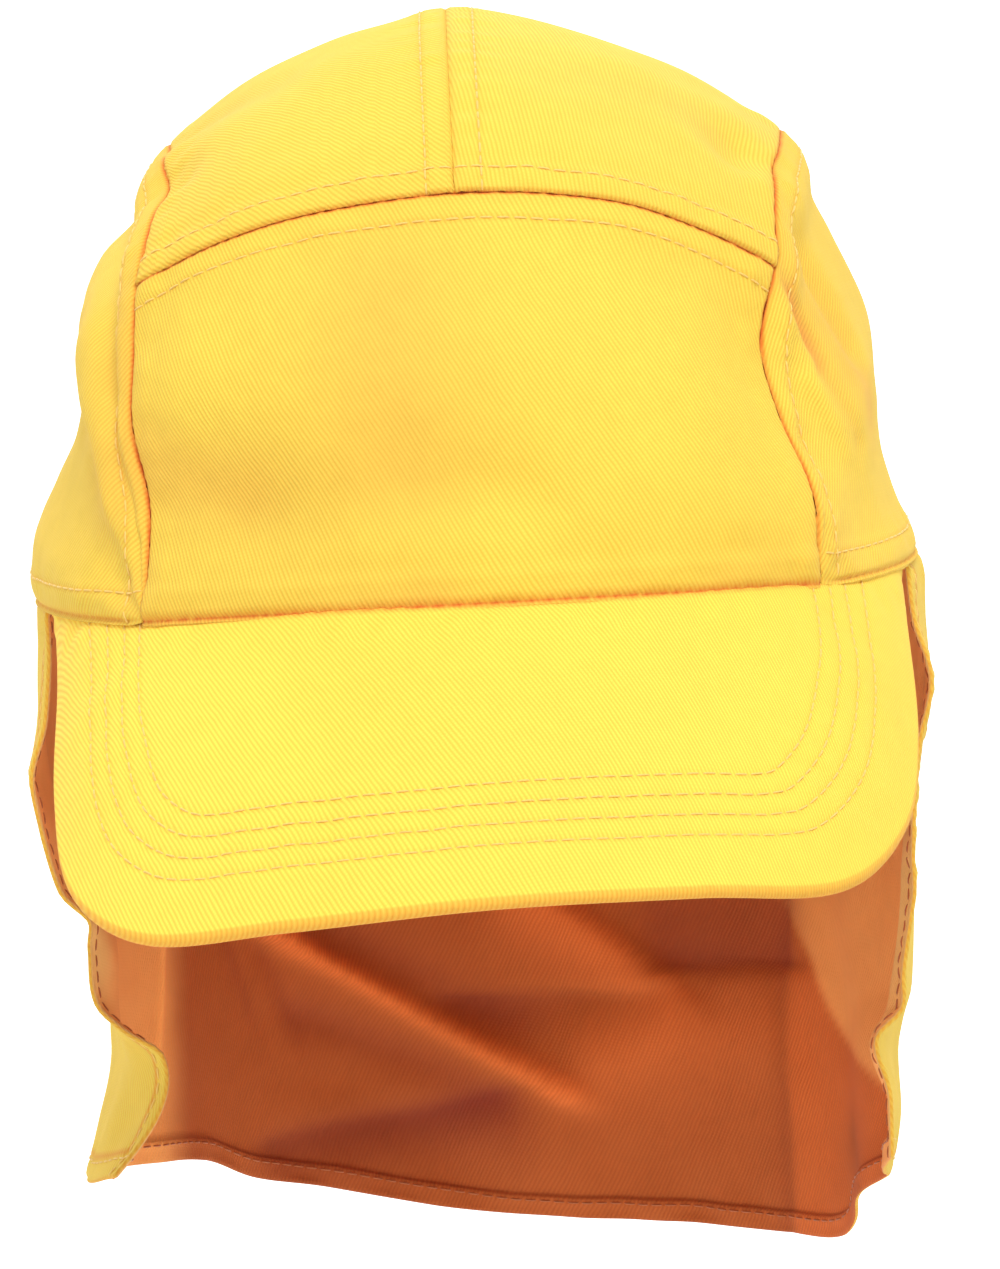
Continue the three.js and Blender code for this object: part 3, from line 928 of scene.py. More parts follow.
        sheet = self.panel(pick, u, v, self.side_grain)
        seed = side.choose(self.side_seeds)
        heights = np.linalg.norm(sheet.outer[:, -1] - sheet.outer[:, 0], axis=-1)
        least, thinnest = self.side_least
        grown = smooth_step((heights - self.side_low) / (self.side_high - self.side_low))
        share = (least + (1 - least) * grown)[:, None]
        sound = np.nonzero(heights > self.side_sound)[0]
        steady = sheet.normals[np.clip(np.arange(len(heights)), sound[0], sound[-1])]
        sheet.normals = unit(mix(steady, sheet.normals, share[..., None]))
        sheet.thick = self.thickness * np.broadcast_to(np.maximum(share, thinnest), sheet.rise.shape)
        around = np.arctan2(sheet.outer[..., 0], -sheet.outer[..., 1]) * self.opening.half_width
        sheet.flat = np.stack([around, lengths_across(sheet.outer)], -1)
        seam = sheet.sew_edge(sheet.outer[:, -1], SIDE_SEAM, seed, share)
        base = sheet.sew_edge(self.above_tuck(sheet.outer[:, 0]), BASE_SEAM, seed + 1, share)
        sheet.press_seams()
        sewing = Thread()
        sewing.sew(*sheet.row_at(seam, SIDE_SEAM.band, 1, True))
        sewing.sew(*sheet.row_at(base, BASE_SEAM.band, 1, False))
        return self.finish_panel(f"side_panel_{side.name.lower()}", sheet, sewing, palette)


@dataclass
class Peak:
    """The stiff visor, wrapped in cloth and sewn through in four rows.

    Edge_table places its outer edge from left to right: x in shares of the opening's half width,
    reach and fall in shares of length. Upper_size is the length and the step of the upper face's
    grid. Grain_stretch is how much the flat cloth is stretched sideways at the ends, and lengthways
    in the middle and at the ends. Bright is the painted light that the whole visor takes, and how
    much more of it the left end takes. The seam, the rows of stitches, the rounded edge and the
    under face take painted shade.
    """

    opening: HeadOpening = HeadOpening()
    length: float = 69.0
    thickness: float = 3.0
    slope: float = 44.0
    end_slope: float = 62.0
    end_angle: float = 69.0
    camber: float = 2.5
    join_gap: float = -0.3
    tuck: float = 1.0
    upper_size: tuple[float, float] = (60, 0.9)
    under_rows: int = 30
    side_rows: float = 0.27
    row_distances: tuple[float, ...] = (12.0, 16.3, 20.6, 24.9)
    columns: int = 230
    wrap_places: int = 9
    edge_shade: float = 0.6
    join_half_width: float = 0.735
    row_depth: float = 0.2
    row_width: float = 0.7
    row_painted_shade: float = 0.12
    row_painted_shade_width: float = 0.45
    puckers: Ripple = Ripple(71, 6, 16)
    waves: Ripple = Ripple(72, 40, 90)
    seam_seed: int = 73
    grain: float = 118
    grain_from: float = -120.0
    grain_stretch: tuple[float, float, float] = (0.35, 1.39, 1.05)
    bright: tuple[float, float] = (0.4, 0.25)
    edge_table: Table = Table(
        "at x reach fall",
        (
            (0, -0.945, -0.93, 0.02),
            (0.08, -0.935, -0.6, 0.2),
            (0.17, -0.935, -0.18, 0.46),
            (0.25, -0.89, 0.15, 0.65),
            (0.32, -0.73, 0.43, 0.73),
            (0.4, -0.43, 0.61, 0.69),
            (0.5, 0, 0.71, 0.645),
            (0.6, 0.43, 0.64, 0.655),
            (0.68, 0.73, 0.47, 0.685),
            (0.75, 0.88, 0.18, 0.59),
            (0.83, 0.935, -0.18, 0.41),
            (0.92, 0.945, -0.6, 0.17),
            (1, 0.945, -0.93, 0.02),
        ),
    )

    def upper(self, across: Array, out: Array) -> Array:
        """Points of the upper face, from the crown, 0, to the outer edge, 1."""
        across, out = np.broadcast_arrays(across, out)
        rim = self.opening.point(mix(-self.end_angle, self.end_angle, across))
        rim -= self.tuck * unit(rim)
        join = self.join_half_width
        within = np.clip(np.abs(rim[..., 0]) / (join * self.opening.half_width), 0, 1)
        lift = self.opening.front_lift * (1 - turned(within, join, self.opening.squareness))
        rim[..., 2] = lift - self.join_gap
        edge = np.stack(
            [
                self.edge_table.read("x", across) * self.opening.half_width,
                -self.opening.half_length - self.edge_table.read("reach", across) * self.length,
                -self.edge_table.read("fall", across) * self.length,
            ],
            -1,
        )
        bulge = np.sin(math.pi * out) * self.camber * np.sin(math.pi * across)
        lift_way = np.stack([np.zeros_like(bulge), -bulge / 2, bulge], -1)
        return mix(rim, edge, out[..., None]) + lift_way

    def normal(self, across: Array) -> Array:
        """The way out of the upper face, which is steeper at its two ends."""
        rim = unit(self.opening.point(mix(-self.end_angle, self.end_angle, across)))
        slope = np.radians(mix(self.slope, self.end_slope, (2 * across - 1) ** 2))
        level = rim * np.sin(slope)[..., None]
        level[..., 2] = np.cos(slope)
        return level

    def build(self, palette: Palette) -> Piece:
        """Makes the visor as one closed, rounded piece with its rows of stitches."""
        across = np.linspace(0, 1, self.columns)
        radius = self.thickness / 2
        inner_edge, outer_edge = (self.upper(across, np.array(end)) for end in (0.0, 1.0))
        reach = np.linalg.norm(outer_edge - inner_edge, axis=-1)
        inset = np.clip(1 - radius / np.maximum(reach, radius * 2), 0.2, 1)
        out = shares(*self.upper_size, True, False)
        top = self.upper(across[:, None], out[None, :] * inset[:, None])
        normal = np.broadcast_to(self.normal(across)[:, None], top.shape)
        sheet = ClothSheet(top, np.array([0, 0, -90.0]))
        away, along = nearest_on_line(top, outer_edge)
        away = away / (1 + self.side_rows * smooth_step((np.abs(2 * across - 1) - 0.5) / 0.3))[:, None]
        relief, row_shade = np.zeros(away.shape), np.zeros(away.shape)
        for distance in self.row_distances:
            relief -= self.row_depth * bell((away - distance) / self.row_width)
            # Painted shade along each row of stitches
            tone = self.row_painted_shade * bell((away - distance) / self.row_painted_shade_width)
            row_shade = np.maximum(row_shade, tone)
        relief += 0.12 * self.puckers.read(np.stack([along, 0.3 * away], -1)) * bell((away - 18) / 9)
        relief += 0.3 * self.waves.read(top) * smooth_step(away / 12)
        inner_away, inner_along = nearest_on_line(top, inner_edge + 1.2 * unit(outer_edge))
        relief += PEAK_SEAM.rises(inner_away, inner_along, self.seam_seed) - PEAK_SEAM.sinks(inner_away)
        sheet.raise_by(relief)
        sewing = Thread()
        for distance in self.row_distances:
            sewing.sew(*sheet.row_at(away, distance, 1, True))
        last, before = sheet.outer[:, -1], sheet.outer[:, -3]
        ahead = unit(last - before)
        turn = np.linspace(0, math.pi, self.wrap_places + 2)[1:-1]
        upward = self.normal(across)
        core = last - upward * radius
        ring = upward[:, None] * np.cos(turn)[None, :, None]
        ring = ring + ahead[:, None] * np.sin(turn)[None, :, None]
        wrap = core[:, None] + radius * ring
        under_out = np.linspace(1, 0, self.under_rows)
        under = self.upper(across[:, None], under_out[None, :] * inset[:, None])
        under = under - normal[:, :1] * self.thickness
        under[:, 0] = last - upward * self.thickness
        section = np.concatenate([sheet.outer, wrap, under], axis=1)
        shade = np.maximum(PEAK_SEAM.shades(inner_away), row_shade)
        piece = self.close(section, shade, palette)
        sewing.build("peak_stitches", palette.thread)
        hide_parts("peak")
        return piece

    def close(self, section: Array, shade: Array, palette: Palette) -> Piece:
        """Joins the sections into one closed mesh.

        Args:
            section: Points by column and by place round the section, the upper face first.
            shade: How much painted shade the seam and the rows of stitches take on the upper face.
            palette: The finishes, of which it takes the cloth's.

        Returns:
            The visor's piece.
        """
        nu, nv = section.shape[:2]
        index = np.arange(nu * nv).reshape(nu, nv)
        ahead = np.roll(index, -1, axis=1)
        quads = np.stack([index[:-1], index[1:], ahead[1:], ahead[:-1]], -1).reshape(-1, 4)
        faces = quads[:, ::-1].tolist() + [index[0].tolist(), index[-1][::-1].tolist()]
        mesh = bpy.data.meshes.new("peak_cover")
        mesh.from_pydata((section.reshape(-1, 3) * METRES).tolist(), [], faces)
        mesh.polygons.foreach_set("use_smooth", [True] * len(faces))
        for finish in palette.cloth:
            mesh.materials.append(finish)
        share = np.square(section[..., 0] / self.opening.half_width)
        sideways, middle, end = self.grain_stretch
        u = section[..., 0] * (1 + sideways * share)
        v = (section[..., 1] - self.grain_from) * mix(middle, end, share)
        write_cloth(mesh, turn_to_grain(u, v, self.grain).reshape(-1, 2))
        # Painted shade on the seam and the rows of stitches, and on the rounded edge and the under face
        crease = np.zeros((nu, nv))
        top_rows = shade.shape[1]
        crease[:, :top_rows] = shade
        wrapped = top_rows + self.wrap_places
        crease[:, top_rows:wrapped] = np.linspace(self.edge_shade / 2, self.edge_shade, self.wrap_places)
        crease[:, wrapped:] = self.edge_shade
        write_mark(mesh, "crease", crease)
        # Painted light over the whole visor, more of it at the left end
        plain, more = self.bright
        write_mark(mesh, "tone", plain + more * smooth_step((-section[..., 0] - 20) / 50))
        return add_piece("peak_cover", mesh)


@dataclass(frozen=True)
class FlapCrease:
    """A crease of the hanging cloth between two places, each a share round the neck and a share down.

    Its two sides have their own widths in millimetres. The cloth stands out by out millimetres along it,
    and its inner face takes painted light there, or painted shade where the last value is negative.
    """

    start: tuple[float, float]
    end: tuple[float, float]
    upper_width: float
    lower_width: float
    out: float
    tone: float

    def profile(self, at: Array, down: Array, around: float, tall: float) -> Array:
        """The crease's share at each place of a grid, from 0 to 1."""
        scale = np.array([around, tall])
        a, b = np.array(self.start) * scale, np.array(self.end) * scale
        line = b - a
        length = np.linalg.norm(line)
        way = line / length
        x, y = (at * around)[:, None] - a[0], (down * tall)[None] - a[1]
        along = (x * way[0] + y * way[1]) / length
        side = y * way[0] - x * way[1]
        side = side * (1 if way[0] >= 0 else -1)
        past = np.maximum(np.abs(along - 0.5) - 0.5, 0) * length
        width = np.where(side < 0, self.upper_width, self.lower_width)
        ridge = 1 / np.cosh(np.clip(1.6 * side / width, -30, 30))
        return ridge * bell(past / 7.0) * (0.75 + 0.25 * np.clip(1 - along, 0, 1))


@dataclass
class NeckFlap:
    """The cloth that hangs over the ears and neck, with a doubled hem along its free edges.

    At is the share of the way round, from the visor's left end by the back to its right end, and
    down is the share of the way to the hem. Hem_table and hang_table are in shares of length. Each
    swell has its start, its end, its width and how far out it is: a share round and a share down
    twice, then a share round and a share of length. Light_edge says between which places round the
    daylight fades. Around and tall are the cloth's size in millimetres for its creases. Hem_lights
    are, for the left and the right edge, the width that is fully lit and the one over which the
    light fades, in millimetres, and its middle and reach on the way down.
    """

    opening: HeadOpening = HeadOpening()
    length: float = 147.0
    start_angle: float = 70.0
    join_gap: float = 0.1
    cloth: float = 0.5
    hem: float = 4.6
    hem_row: float = 3.6
    row_depth: float = 0.2
    row_width: float = 0.8
    pucker: float = 0.2
    hem_turn: float = 0.7
    edge_round: float = 0.5
    around: float = 345.0
    tall: float = 143.0
    step: float = 1.2
    rows: int = 74
    hem_steps: tuple[float, ...] = (
        *(0, 0.25, 0.6, 1.1, 1.9, 2.7, 3.2, 3.6),
        *(4.0, 4.3, 4.6, 4.9, 5.3, 6.2, 7.6, 9.2),
    )
    grain: float = 118
    unevenness: tuple[tuple[float, Ripple], ...] = (
        (0.4, Ripple(81, 30, 70)),
        (0.12, Ripple(82, 10, 22, 20)),
    )
    puckers: Ripple = Ripple(84, 6, 18)
    seam_seed: int = 83
    hem_brightness: float = 0.8
    edge_light: float = 0.9
    hem_lights: tuple[tuple[float, ...], ...] = ((8, 18, 0.6, 0.12), (14, 36, 0.58, 0.22))
    side_painted_light: tuple[float, float, float] = (0.5, 0.672, 0.02)
    curl: float = 4.6
    curl_share: float = 0.034
    curl_middle: float = 0.7
    curl_reach: float = 0.26
    hem_table: Table = Table(
        "at drop",
        (
            (0, 0.74),
            (0.08, 0.78),
            (0.18, 0.804),
            (0.29, 0.84),
            (0.34, 0.887),
            (0.39, 0.919),
            (0.47, 0.973),
            (0.53, 0.99),
            (0.61, 0.998),
            (0.68, 1),
            (0.74, 0.983),
            (0.79, 0.914),
            (0.84, 0.869),
            (0.92, 0.825),
            (1, 0.775),
        ),
    )
    hang_table: Table = Table(
        "at left_edge left_side left_back back right_back right_side right_edge",
        (
            (0, 0, 0, 0, 0, 0, 0, 0),
            (0.1, -0.002, 0.006, 0, 0, 0, 0.003, 0.004),
            (0.2, 0.007, 0.006, 0, 0, 0, 0.003, 0.019),
            (0.3, 0.027, 0, -0.005, -0.002, 0, -0.007, 0),
            (0.4, 0.018, -0.02, -0.01, -0.005, -0.005, -0.02, -0.014),
            (0.5, 0, -0.041, -0.02, -0.01, -0.01, -0.027, -0.03),
            (0.55, -0.037, -0.055, -0.025, -0.01, -0.014, -0.028, -0.035),
            (0.6, -0.034, -0.065, -0.03, -0.011, -0.018, -0.028, -0.047),
            (0.7, -0.037, -0.065, -0.035, -0.012, -0.025, -0.038, -0.067),
            (0.75, -0.068, -0.066, -0.035, -0.012, -0.028, -0.055, -0.07),
            (0.8, -0.115, -0.07, -0.035, -0.01, -0.03, -0.068, -0.1),
            (0.9, -0.105, -0.046, -0.03, -0.005, -0.03, -0.062, -0.075),
            (1, -0.04, -0.014, -0.025, 0, -0.03, -0.08, -0.065),
        ),
    )
    hang_places: tuple[float, ...] = (0, 0.08, 0.28, 0.5, 0.72, 0.92, 1)
    swells: tuple[tuple[float, ...], ...] = (
        (0.42, 0.84, 0.5, 1, 0.05, 0.018),
        (0.25, 0.3, 0.24, 1, 0.03, -0.017),
        (0.76, 0.35, 0.8, 1, 0.035, -0.02),
        (0.16, 0.5, 0.15, 1, 0.03, 0.012),
        (0.86, 0.4, 0.85, 1, 0.03, 0.012),
    )
    creases: tuple[FlapCrease, ...] = (
        FlapCrease((0.33, 0.57), (0.531, 0.809), 2.6, 2.4, -4.0, 1.4),
        FlapCrease((0.33, 0.57), (0.531, 0.809), 0.6, 0.6, 0.5, -0.3),
        FlapCrease((0.40, 0.60), (0.50, 0.715), 6.5, 5.0, 2.6, -0.42),
        FlapCrease((0.385, 0.735), (0.47, 0.8), 5.0, 5.0, 1.6, -0.4),
        FlapCrease((0.52, 0.52), (0.603, 0.662), 2.2, 9.0, -3.2, 0.85),
        FlapCrease((0.6, 0.636), (0.69, 0.622), 7.0, 1.2, 1.8, -0.6),
        FlapCrease((0.6, 0.56), (0.68, 0.55), 9.0, 9.0, 0.8, -0.35),
        FlapCrease((0.47, 0.69), (0.6, 0.663), 1.2, 6.5, 2.2, -0.4),
        FlapCrease((0.56, 0.76), (0.665, 0.7), 9.0, 11.0, -1.8, 0.4),
        FlapCrease((0.49, 0.83), (0.36, 0.94), 3.0, 9.0, 2.0, -0.85),
        FlapCrease((0.315, 0.58), (0.337, 0.72), 2.4, 2.4, 0.5, -0.3),
        FlapCrease((0.345, 0.6), (0.372, 0.74), 2.8, 2.8, 0.7, -0.3),
        FlapCrease((0.684, 0.45), (0.679, 0.97), 2.2, 2.6, 0.9, -0.45),
        FlapCrease((0.765, 0.88), (0.8, 0.99), 5.0, 8.0, 0.0, -0.5),
        FlapCrease((0.252, 0.55), (0.228, 0.84), 1.1, 1.1, -0.6, 0.45),
        FlapCrease((0.11, 0.1), (0.07, 0.45), 4.0, 7.0, 1.2, -0.2),
        FlapCrease((0.93, 0.05), (0.9, 0.35), 4.0, 6.0, 1.2, -0.2),
    )
    light_edge: Table = Table(
        "down left_from left_to right_from right_to",
        (
            (0, 0.2, 0.28, 0.66, 0.74),
            (0.5, 0.23, 0.29, 0.668, 0.684),
            (0.6, 0.235, 0.29, 0.7, 0.712),
            (0.7, 0.235, 0.285, 0.73, 0.744),
            (0.8, 0.225, 0.28, 0.79, 0.806),
            (0.9, 0.22, 0.28, 0.85, 0.88),
            (1, 0.22, 0.28, 0.88, 0.92),
        ),
    )

    def stand(self, at: Array, down: Array) -> Array:
        """How far the cloth hangs outside the rim, in millimetres, at each place of a grid."""
        names = self.hang_table.names.split()[1:]
        reached = np.stack([self.hang_table.read(name, down) for name in names], 0)
        places = np.asarray(self.hang_places)
        total = np.stack([smooth_through(places, reached[:, j], at) for j in range(len(down))], 1)
        for start, high, end, low, wide, out in self.swells:
            share = np.clip((down - high) / (low - high), 0, 1)
            away = (at[:, None] - mix(start, end, share)[None]) / wide
            past = (down - mix(high, low, share)) * 8
            total += out * np.exp(-(away**2) - past[None] ** 2)
        lifted = sum(c.profile(at, down, self.around, self.tall) * c.out for c in self.creases)
        curl = smooth_step((at - 1 + self.curl_share) / self.curl_share)[:, None]
        curl = curl * self.curl * bell((down - self.curl_middle) / self.curl_reach)[None]
        return total * self.length + lifted + curl

    def daylight(self, at: Array, down: Array) -> Array:
        """How much of the light from the front reaches each place of the inner face, from 0 to 1."""
        names = ("left_from", "left_to", "right_from", "right_to")
        a, b, c, d = (self.light_edge.read(name, down) for name in names)
        left = 1 - smooth_step((at[:, None] - a) / (b - a))
        return np.maximum(left, smooth_step((at[:, None] - c) / (d - c)))

    def hem_light(self, start: Array, end: Array, down: Array) -> Array:
        """How brightly the light catches the hems at the two front edges, from 0 to 1."""
        light = bell(np.minimum(start, end) / self.edge_light)
        for away, (near, fade, middle, reach) in zip((start, end), self.hem_lights):
            side = (1 - smooth_step((away - near) / fade)) * bell((down - middle) / reach)[None]
            light = np.maximum(light, side)
        return self.hem_brightness * light

    def tone(self, at: Array, down: Array) -> Array:
        """How much painted light, or painted shade where negative, each place of the inner face takes."""
        folded = sum(c.profile(at, down, self.around, self.tall) * c.tone for c in self.creases)
        # Painted light on the right part of the inner face, where light from the front falls
        lighter, place, fade = self.side_painted_light
        side = lighter * smooth_step((at - place) / fade)[:, None]
        return folded + side * (1 - self.daylight(at, down))

    def points(self, at: Array, down: Array) -> Array:
        """Points of the outer face on a grid round the neck and down to the hem."""
        degrees = mix(-self.start_angle, self.start_angle - 360, at)
        rim, out = self.opening.point(degrees), self.opening.outward(degrees)
        drop = self.hem_table.read("drop", at) * self.length
        grid = rim[:, None] + out[:, None] * self.stand(at, down)[..., None]
        grid[..., 2] = -self.join_gap - down[None] * drop[:, None]
        return grid

    def build(self, palette: Palette) -> Piece:
        """Makes the hanging cloth, its hem and its stitches."""
        hem = np.array(self.hem_steps)
        count = round((self.around - 2 * hem[-1]) / self.step)
        middle = np.linspace(hem[-1], self.around - hem[-1], count)
        at = np.concatenate([hem[:-1], middle, (self.around - hem)[::-1][1:]]) / self.around
        head = shares(100, self.step, True, False)[:8] * 100
        tail = (self.length - hem)[::-1]
        down = np.concatenate([head, np.linspace(head[-1], tail[0], self.rows)[1:-1], tail]) / self.length
        sheet = ClothSheet(self.points(at, down), np.array([0, 10.0, -60.0]), grain=self.grain)
        drop = self.hem_table.read("drop", at) * self.length
        bottom = (1 - down)[None] * drop[:, None]
        start = np.broadcast_to((at * self.around)[:, None], bottom.shape)
        end = self.around - start
        away = np.minimum(np.minimum(start, end), bottom)
        sideways = 1000 + np.where(start < end, 1, 3) * down[None] * drop[:, None]
        along = np.where(bottom <= away, start, sideways)
        soft = sum(height * ripple.read(sheet.outer) for height, ripple in self.unevenness)
        sheet.raise_by(soft * smooth_step(-sheet.outer[..., 2] / 20))
        sheet.sew_edge(sheet.outer[:, 0], FLAP_SEAM, self.seam_seed)
        sheet.press_seams()
        pucker = self.puckers.read(np.stack([along, 0.3 * away], -1)) * bell((away - 4) / 4)
        row = -self.row_depth * bell((away - self.hem_row) / self.row_width)
        sheet.raise_by((self.pucker * pucker + row) * smooth_step(away / 1.5))
        doubled = 1 - smooth_step((away - self.hem + 0.4) / self.hem_turn)
        rolled = np.clip(1 - away / self.edge_round, 0, 1)
        rolled = np.sqrt(np.clip(1 - np.square(rolled), 0.05, 1))
        full = self.cloth * (1 + doubled)
        sheet.outer = sheet.outer - sheet.normals * (full * (1 - rolled) / 2)[..., None]
        sheet.thick = full * rolled
        # Painted shade at the free edge and where the doubled hem ends
        hem_painted_shade = 0.5 * bell((away - self.hem) / 0.5) + 0.35 * bell(away / 0.35)
        sheet.crease = np.maximum(sheet.crease, hem_painted_shade)
        # Painted light where daylight reaches the inner face and its hems, and painted light and shade
        # along its creases
        sheet.inner_extra = {
            "daylight": self.daylight(at, down),
            "tone": self.tone(at, down),
            "hem_light": self.hem_light(start, end, down),
        }
        piece = sheet.build("neck_flap_cloth", palette)
        outer_rows, inner_rows = Thread(), Thread()
        for reach, axis, from_end in ((bottom, 1, True), (start, 0, False), (end, 0, True)):
            line, facing = sheet.row_at(reach, self.hem_row, axis, from_end)
            outer_rows.sew(line, facing)
            inner_rows.sew(line - facing * self.cloth * 2, -facing)
        stitches = [
            outer_rows.build("neck_flap_stitches", palette.thread),
            inner_rows.build("neck_flap_inner_stitches", palette.shaded_thread),
        ]
        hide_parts("neck_flap")
        LOG.info("neck flap: %.4f square metres on both faces", sum(p.area for p in piece.data.polygons))
        return piece


def feed(tree: Tree, made: bpy.types.Node, **values: object) -> bpy.types.Node:
    """Gives a node its settings and inputs.

    Args:
        tree: The node's tree.
        made: The node.
        **values: Settings by attribute name, and values or sockets by input name, with spaces as
            underscores.

    Returns:
        The same node.
    """
    for name, value in values.items():
        if hasattr(made, name):
            setattr(made, name, value)
            continue
        socket = made.inputs[name.replace("_", " ")]
        if isinstance(value, Socket):
            tree.links.new(value, socket)
        else:
            socket.default_value = value
    return made


def node(tree: Tree, kind: str, at: tuple[float, float], **values: object) -> bpy.types.Node:
    """Adds a node.

    Args:
        tree: The tree that gets it.
        kind: The node's type name without its ShaderNode prefix.
        at: Its place in the editor.
        **values: Its settings and inputs, as for feed.

    Returns:
        The new node.
    """
    made = tree.nodes.new(kind if kind.startswith("Node") else f"ShaderNode{kind}")
    made.location = at
    return feed(tree, made, **values)


def math_node(
    tree: Tree, operation: str, first: object, second: object = 0.0
) -> Socket:
    """Adds a Math node and returns its result.

    Args:
        tree: The tree that gets it.
        operation: The node's operation.
        first: A socket or a number.
        second: A socket or a number.

    Returns:
        The output socket.
    """
    made = tree.nodes.new("ShaderNodeMath")
    made.operation = operation
    for k, value in enumerate((first, second)):
        if isinstance(value, Socket):
            tree.links.new(value, made.inputs[k])
        else:
            made.inputs[k].default_value = value
    return made.outputs[0]


def colour_mix(
    tree: Tree, factor: Socket, first: object, second: object
) -> Socket:
    """Mixes two colours.

    Args:
        tree: The tree that gets the node.
        factor: The share of the second colour.
        first: A socket or a colour.
        second: A socket or a colour.

    Returns:
        The mixed colour's socket.
    """
    made = node(tree, "Mix", (0, 0), data_type="RGBA", blend_type="MIX", clamp_result=False)
    tree.links.new(factor, made.inputs[0])
    for k, value in ((6, first), (7, second)):
        if isinstance(value, Socket):
            tree.links.new(value, made.inputs[k])
        else:
            made.inputs[k].default_value = (*value, 1.0)
    return made.outputs[2]


@dataclass(frozen=True)
class Effect:
    """An effect that finishes share as one node group. Its first input is a place."""

    name: str
    inputs: tuple[str, ...]
    output: str

    def group(self) -> Tree:
        """Builds the node group once and returns it."""
        if self.name in bpy.data.node_groups:
            return bpy.data.node_groups[self.name]
        tree = bpy.data.node_groups.new(self.name, "ShaderNodeTree")
        for name in self.inputs:
            kind = "NodeSocketVector" if name == self.inputs[0] else "NodeSocketFloat"
            tree.interface.new_socket(name, in_out="INPUT", socket_type=kind)
        tree.interface.new_socket(self.output, in_out="OUTPUT", socket_type="NodeSocketFloat")
        came = node(tree, "NodeGroupInput", (-900, 0))
        result = self.wire(tree, *(came.outputs[name] for name in self.inputs))
        node(tree, "NodeGroupOutput", (900, 0), **{self.output: result})
        return tree

    def wire(self, tree: Tree, *sockets: Socket) -> Socket:
        """Builds the effect from the group's inputs and returns its result."""
        raise NotImplementedError

    def place(self, tree: Tree, **values: object) -> Socket:
        """Puts the effect into a material with its own inputs and returns its result."""
        return node(tree, "Group", (-600, 0), node_tree=self.group(), **values).outputs[self.output]


@dataclass(frozen=True)
class TwillWeave(Effect):
    """Slanting ribs made of short floats of yarn, as a height from 0 to about 1.

    Scales are per metre. Drift is the whole swing, in metres, by which the waver bends the ribs at
    an unevenness of 1, and next_float is how far each float starts past the one on the rib beside
    it.
    """

    name: str = "twill_weave"
    inputs: tuple[str, ...] = ("Cloth", "Rib spacing", "Unevenness")
    output: str = "Height"
    waver_scale: float = 180.0
    drift: float = 0.0009
    rib_top: float = 0.85
    floats_per_rib: float = 1.25
    next_float: float = 0.37
    float_relief: float = 0.3
    fuzz_scale: float = 3500.0
    fuzz: float = 0.18

    def wire(
        self,
        tree: Tree,
        cloth: Socket,
        spacing: Socket,
        unevenness: Socket,
    ) -> Socket:
        """Builds the effect.

        Args:
            tree: The group's tree.
            cloth: The flat place on the cloth, in metres.
            spacing: The distance between ribs, in metres.
            unevenness: How much the ribs waver.

        Returns:
            The height.
        """
        waver = node(tree, "TexNoise", (-700, -250), Scale=self.waver_scale, Detail=2.0, Vector=cloth)
        split = node(tree, "SeparateXYZ", (-700, 100), Vector=cloth)
        drift = math_node(tree, "SUBTRACT", waver.outputs["Fac"], 0.5)
        drift = math_node(tree, "MULTIPLY", drift, self.drift)
        drift = math_node(tree, "MULTIPLY", drift, unevenness)
        across = math_node(tree, "ADD", split.outputs["X"], drift)
        across = math_node(tree, "DIVIDE", across, spacing)
        rib = math_node(tree, "MULTIPLY", math_node(tree, "PINGPONG", across, 0.5), 2.0)
        rib = math_node(tree, "SMOOTH_MIN", rib, self.rib_top)
        along = math_node(tree, "DIVIDE", split.outputs["Y"], spacing)
        along = math_node(tree, "MULTIPLY", along, self.floats_per_rib)
        stagger = math_node(tree, "MULTIPLY", math_node(tree, "FLOOR", across), self.next_float)
        along = math_node(tree, "ADD", along, stagger)
        floats = math_node(tree, "MULTIPLY", math_node(tree, "PINGPONG", along, 0.5), 2.0)
        floats = math_node(tree, "POWER", floats, 0.5)
        floats = math_node(tree, "MULTIPLY", floats, self.float_relief)
        floats = math_node(tree, "ADD", floats, 1 - self.float_relief)
        height = math_node(tree, "MULTIPLY", rib, floats)
        fuzz = node(tree, "TexNoise", (-300, -400), Scale=self.fuzz_scale, Detail=2.0, Vector=cloth)
        fuzz_height = math_node(tree, "MULTIPLY", fuzz.outputs["Fac"], self.fuzz)
        return math_node(tree, "ADD", height, fuzz_height)


@dataclass(frozen=True)
class ClothMottle(Effect):
    """Broad, soft differences in the dye and in wear. Scales are per metre."""

    name: str = "cloth_mottle"
    inputs: tuple[str, ...] = ("Place", "Amount")
    output: str = "Shade"
    broad_scale: float = 22.0
    fine_scale: float = 260.0
    fine_share: float = 0.6

    def wire(
        self, tree: Tree, place: Socket, amount: Socket
    ) -> Socket:
        """Builds the effect.

        Args:
            tree: The group's tree.
            place: The place on the cap, in metres.
            amount: How strong the differences are.

        Returns:
            The shade, about 0 on the whole.
        """
        broad = node(tree, "TexNoise", (-400, 150), Scale=self.broad_scale, Detail=3.0, Vector=place)
        fine = node(tree, "TexNoise", (-400, -150), Scale=self.fine_scale, Detail=4.0, Vector=place)
        specks = math_node(tree, "MULTIPLY", fine.outputs["Fac"], self.fine_share)
        both = math_node(tree, "ADD", broad.outputs["Fac"], specks)
        centred = math_node(tree, "SUBTRACT", both, (1 + self.fine_share) / 2)
        return math_node(tree, "MULTIPLY", centred, amount)


def new_finish(name: str) -> tuple[Material, Tree, bpy.types.Node]:
    """Makes a material and returns it with its tree and its shader."""
    material = bpy.data.materials.new(name)
    material.use_nodes = True
    return material, material.node_tree, material.node_tree.nodes["Principled BSDF"]


def read_mark(tree: Tree, name: str) -> Socket:
    """Adds a node that reads the number that write_mark gave the points."""
    return node(tree, "Attribute", (-900, 0), attribute_name=name).outputs["Fac"]


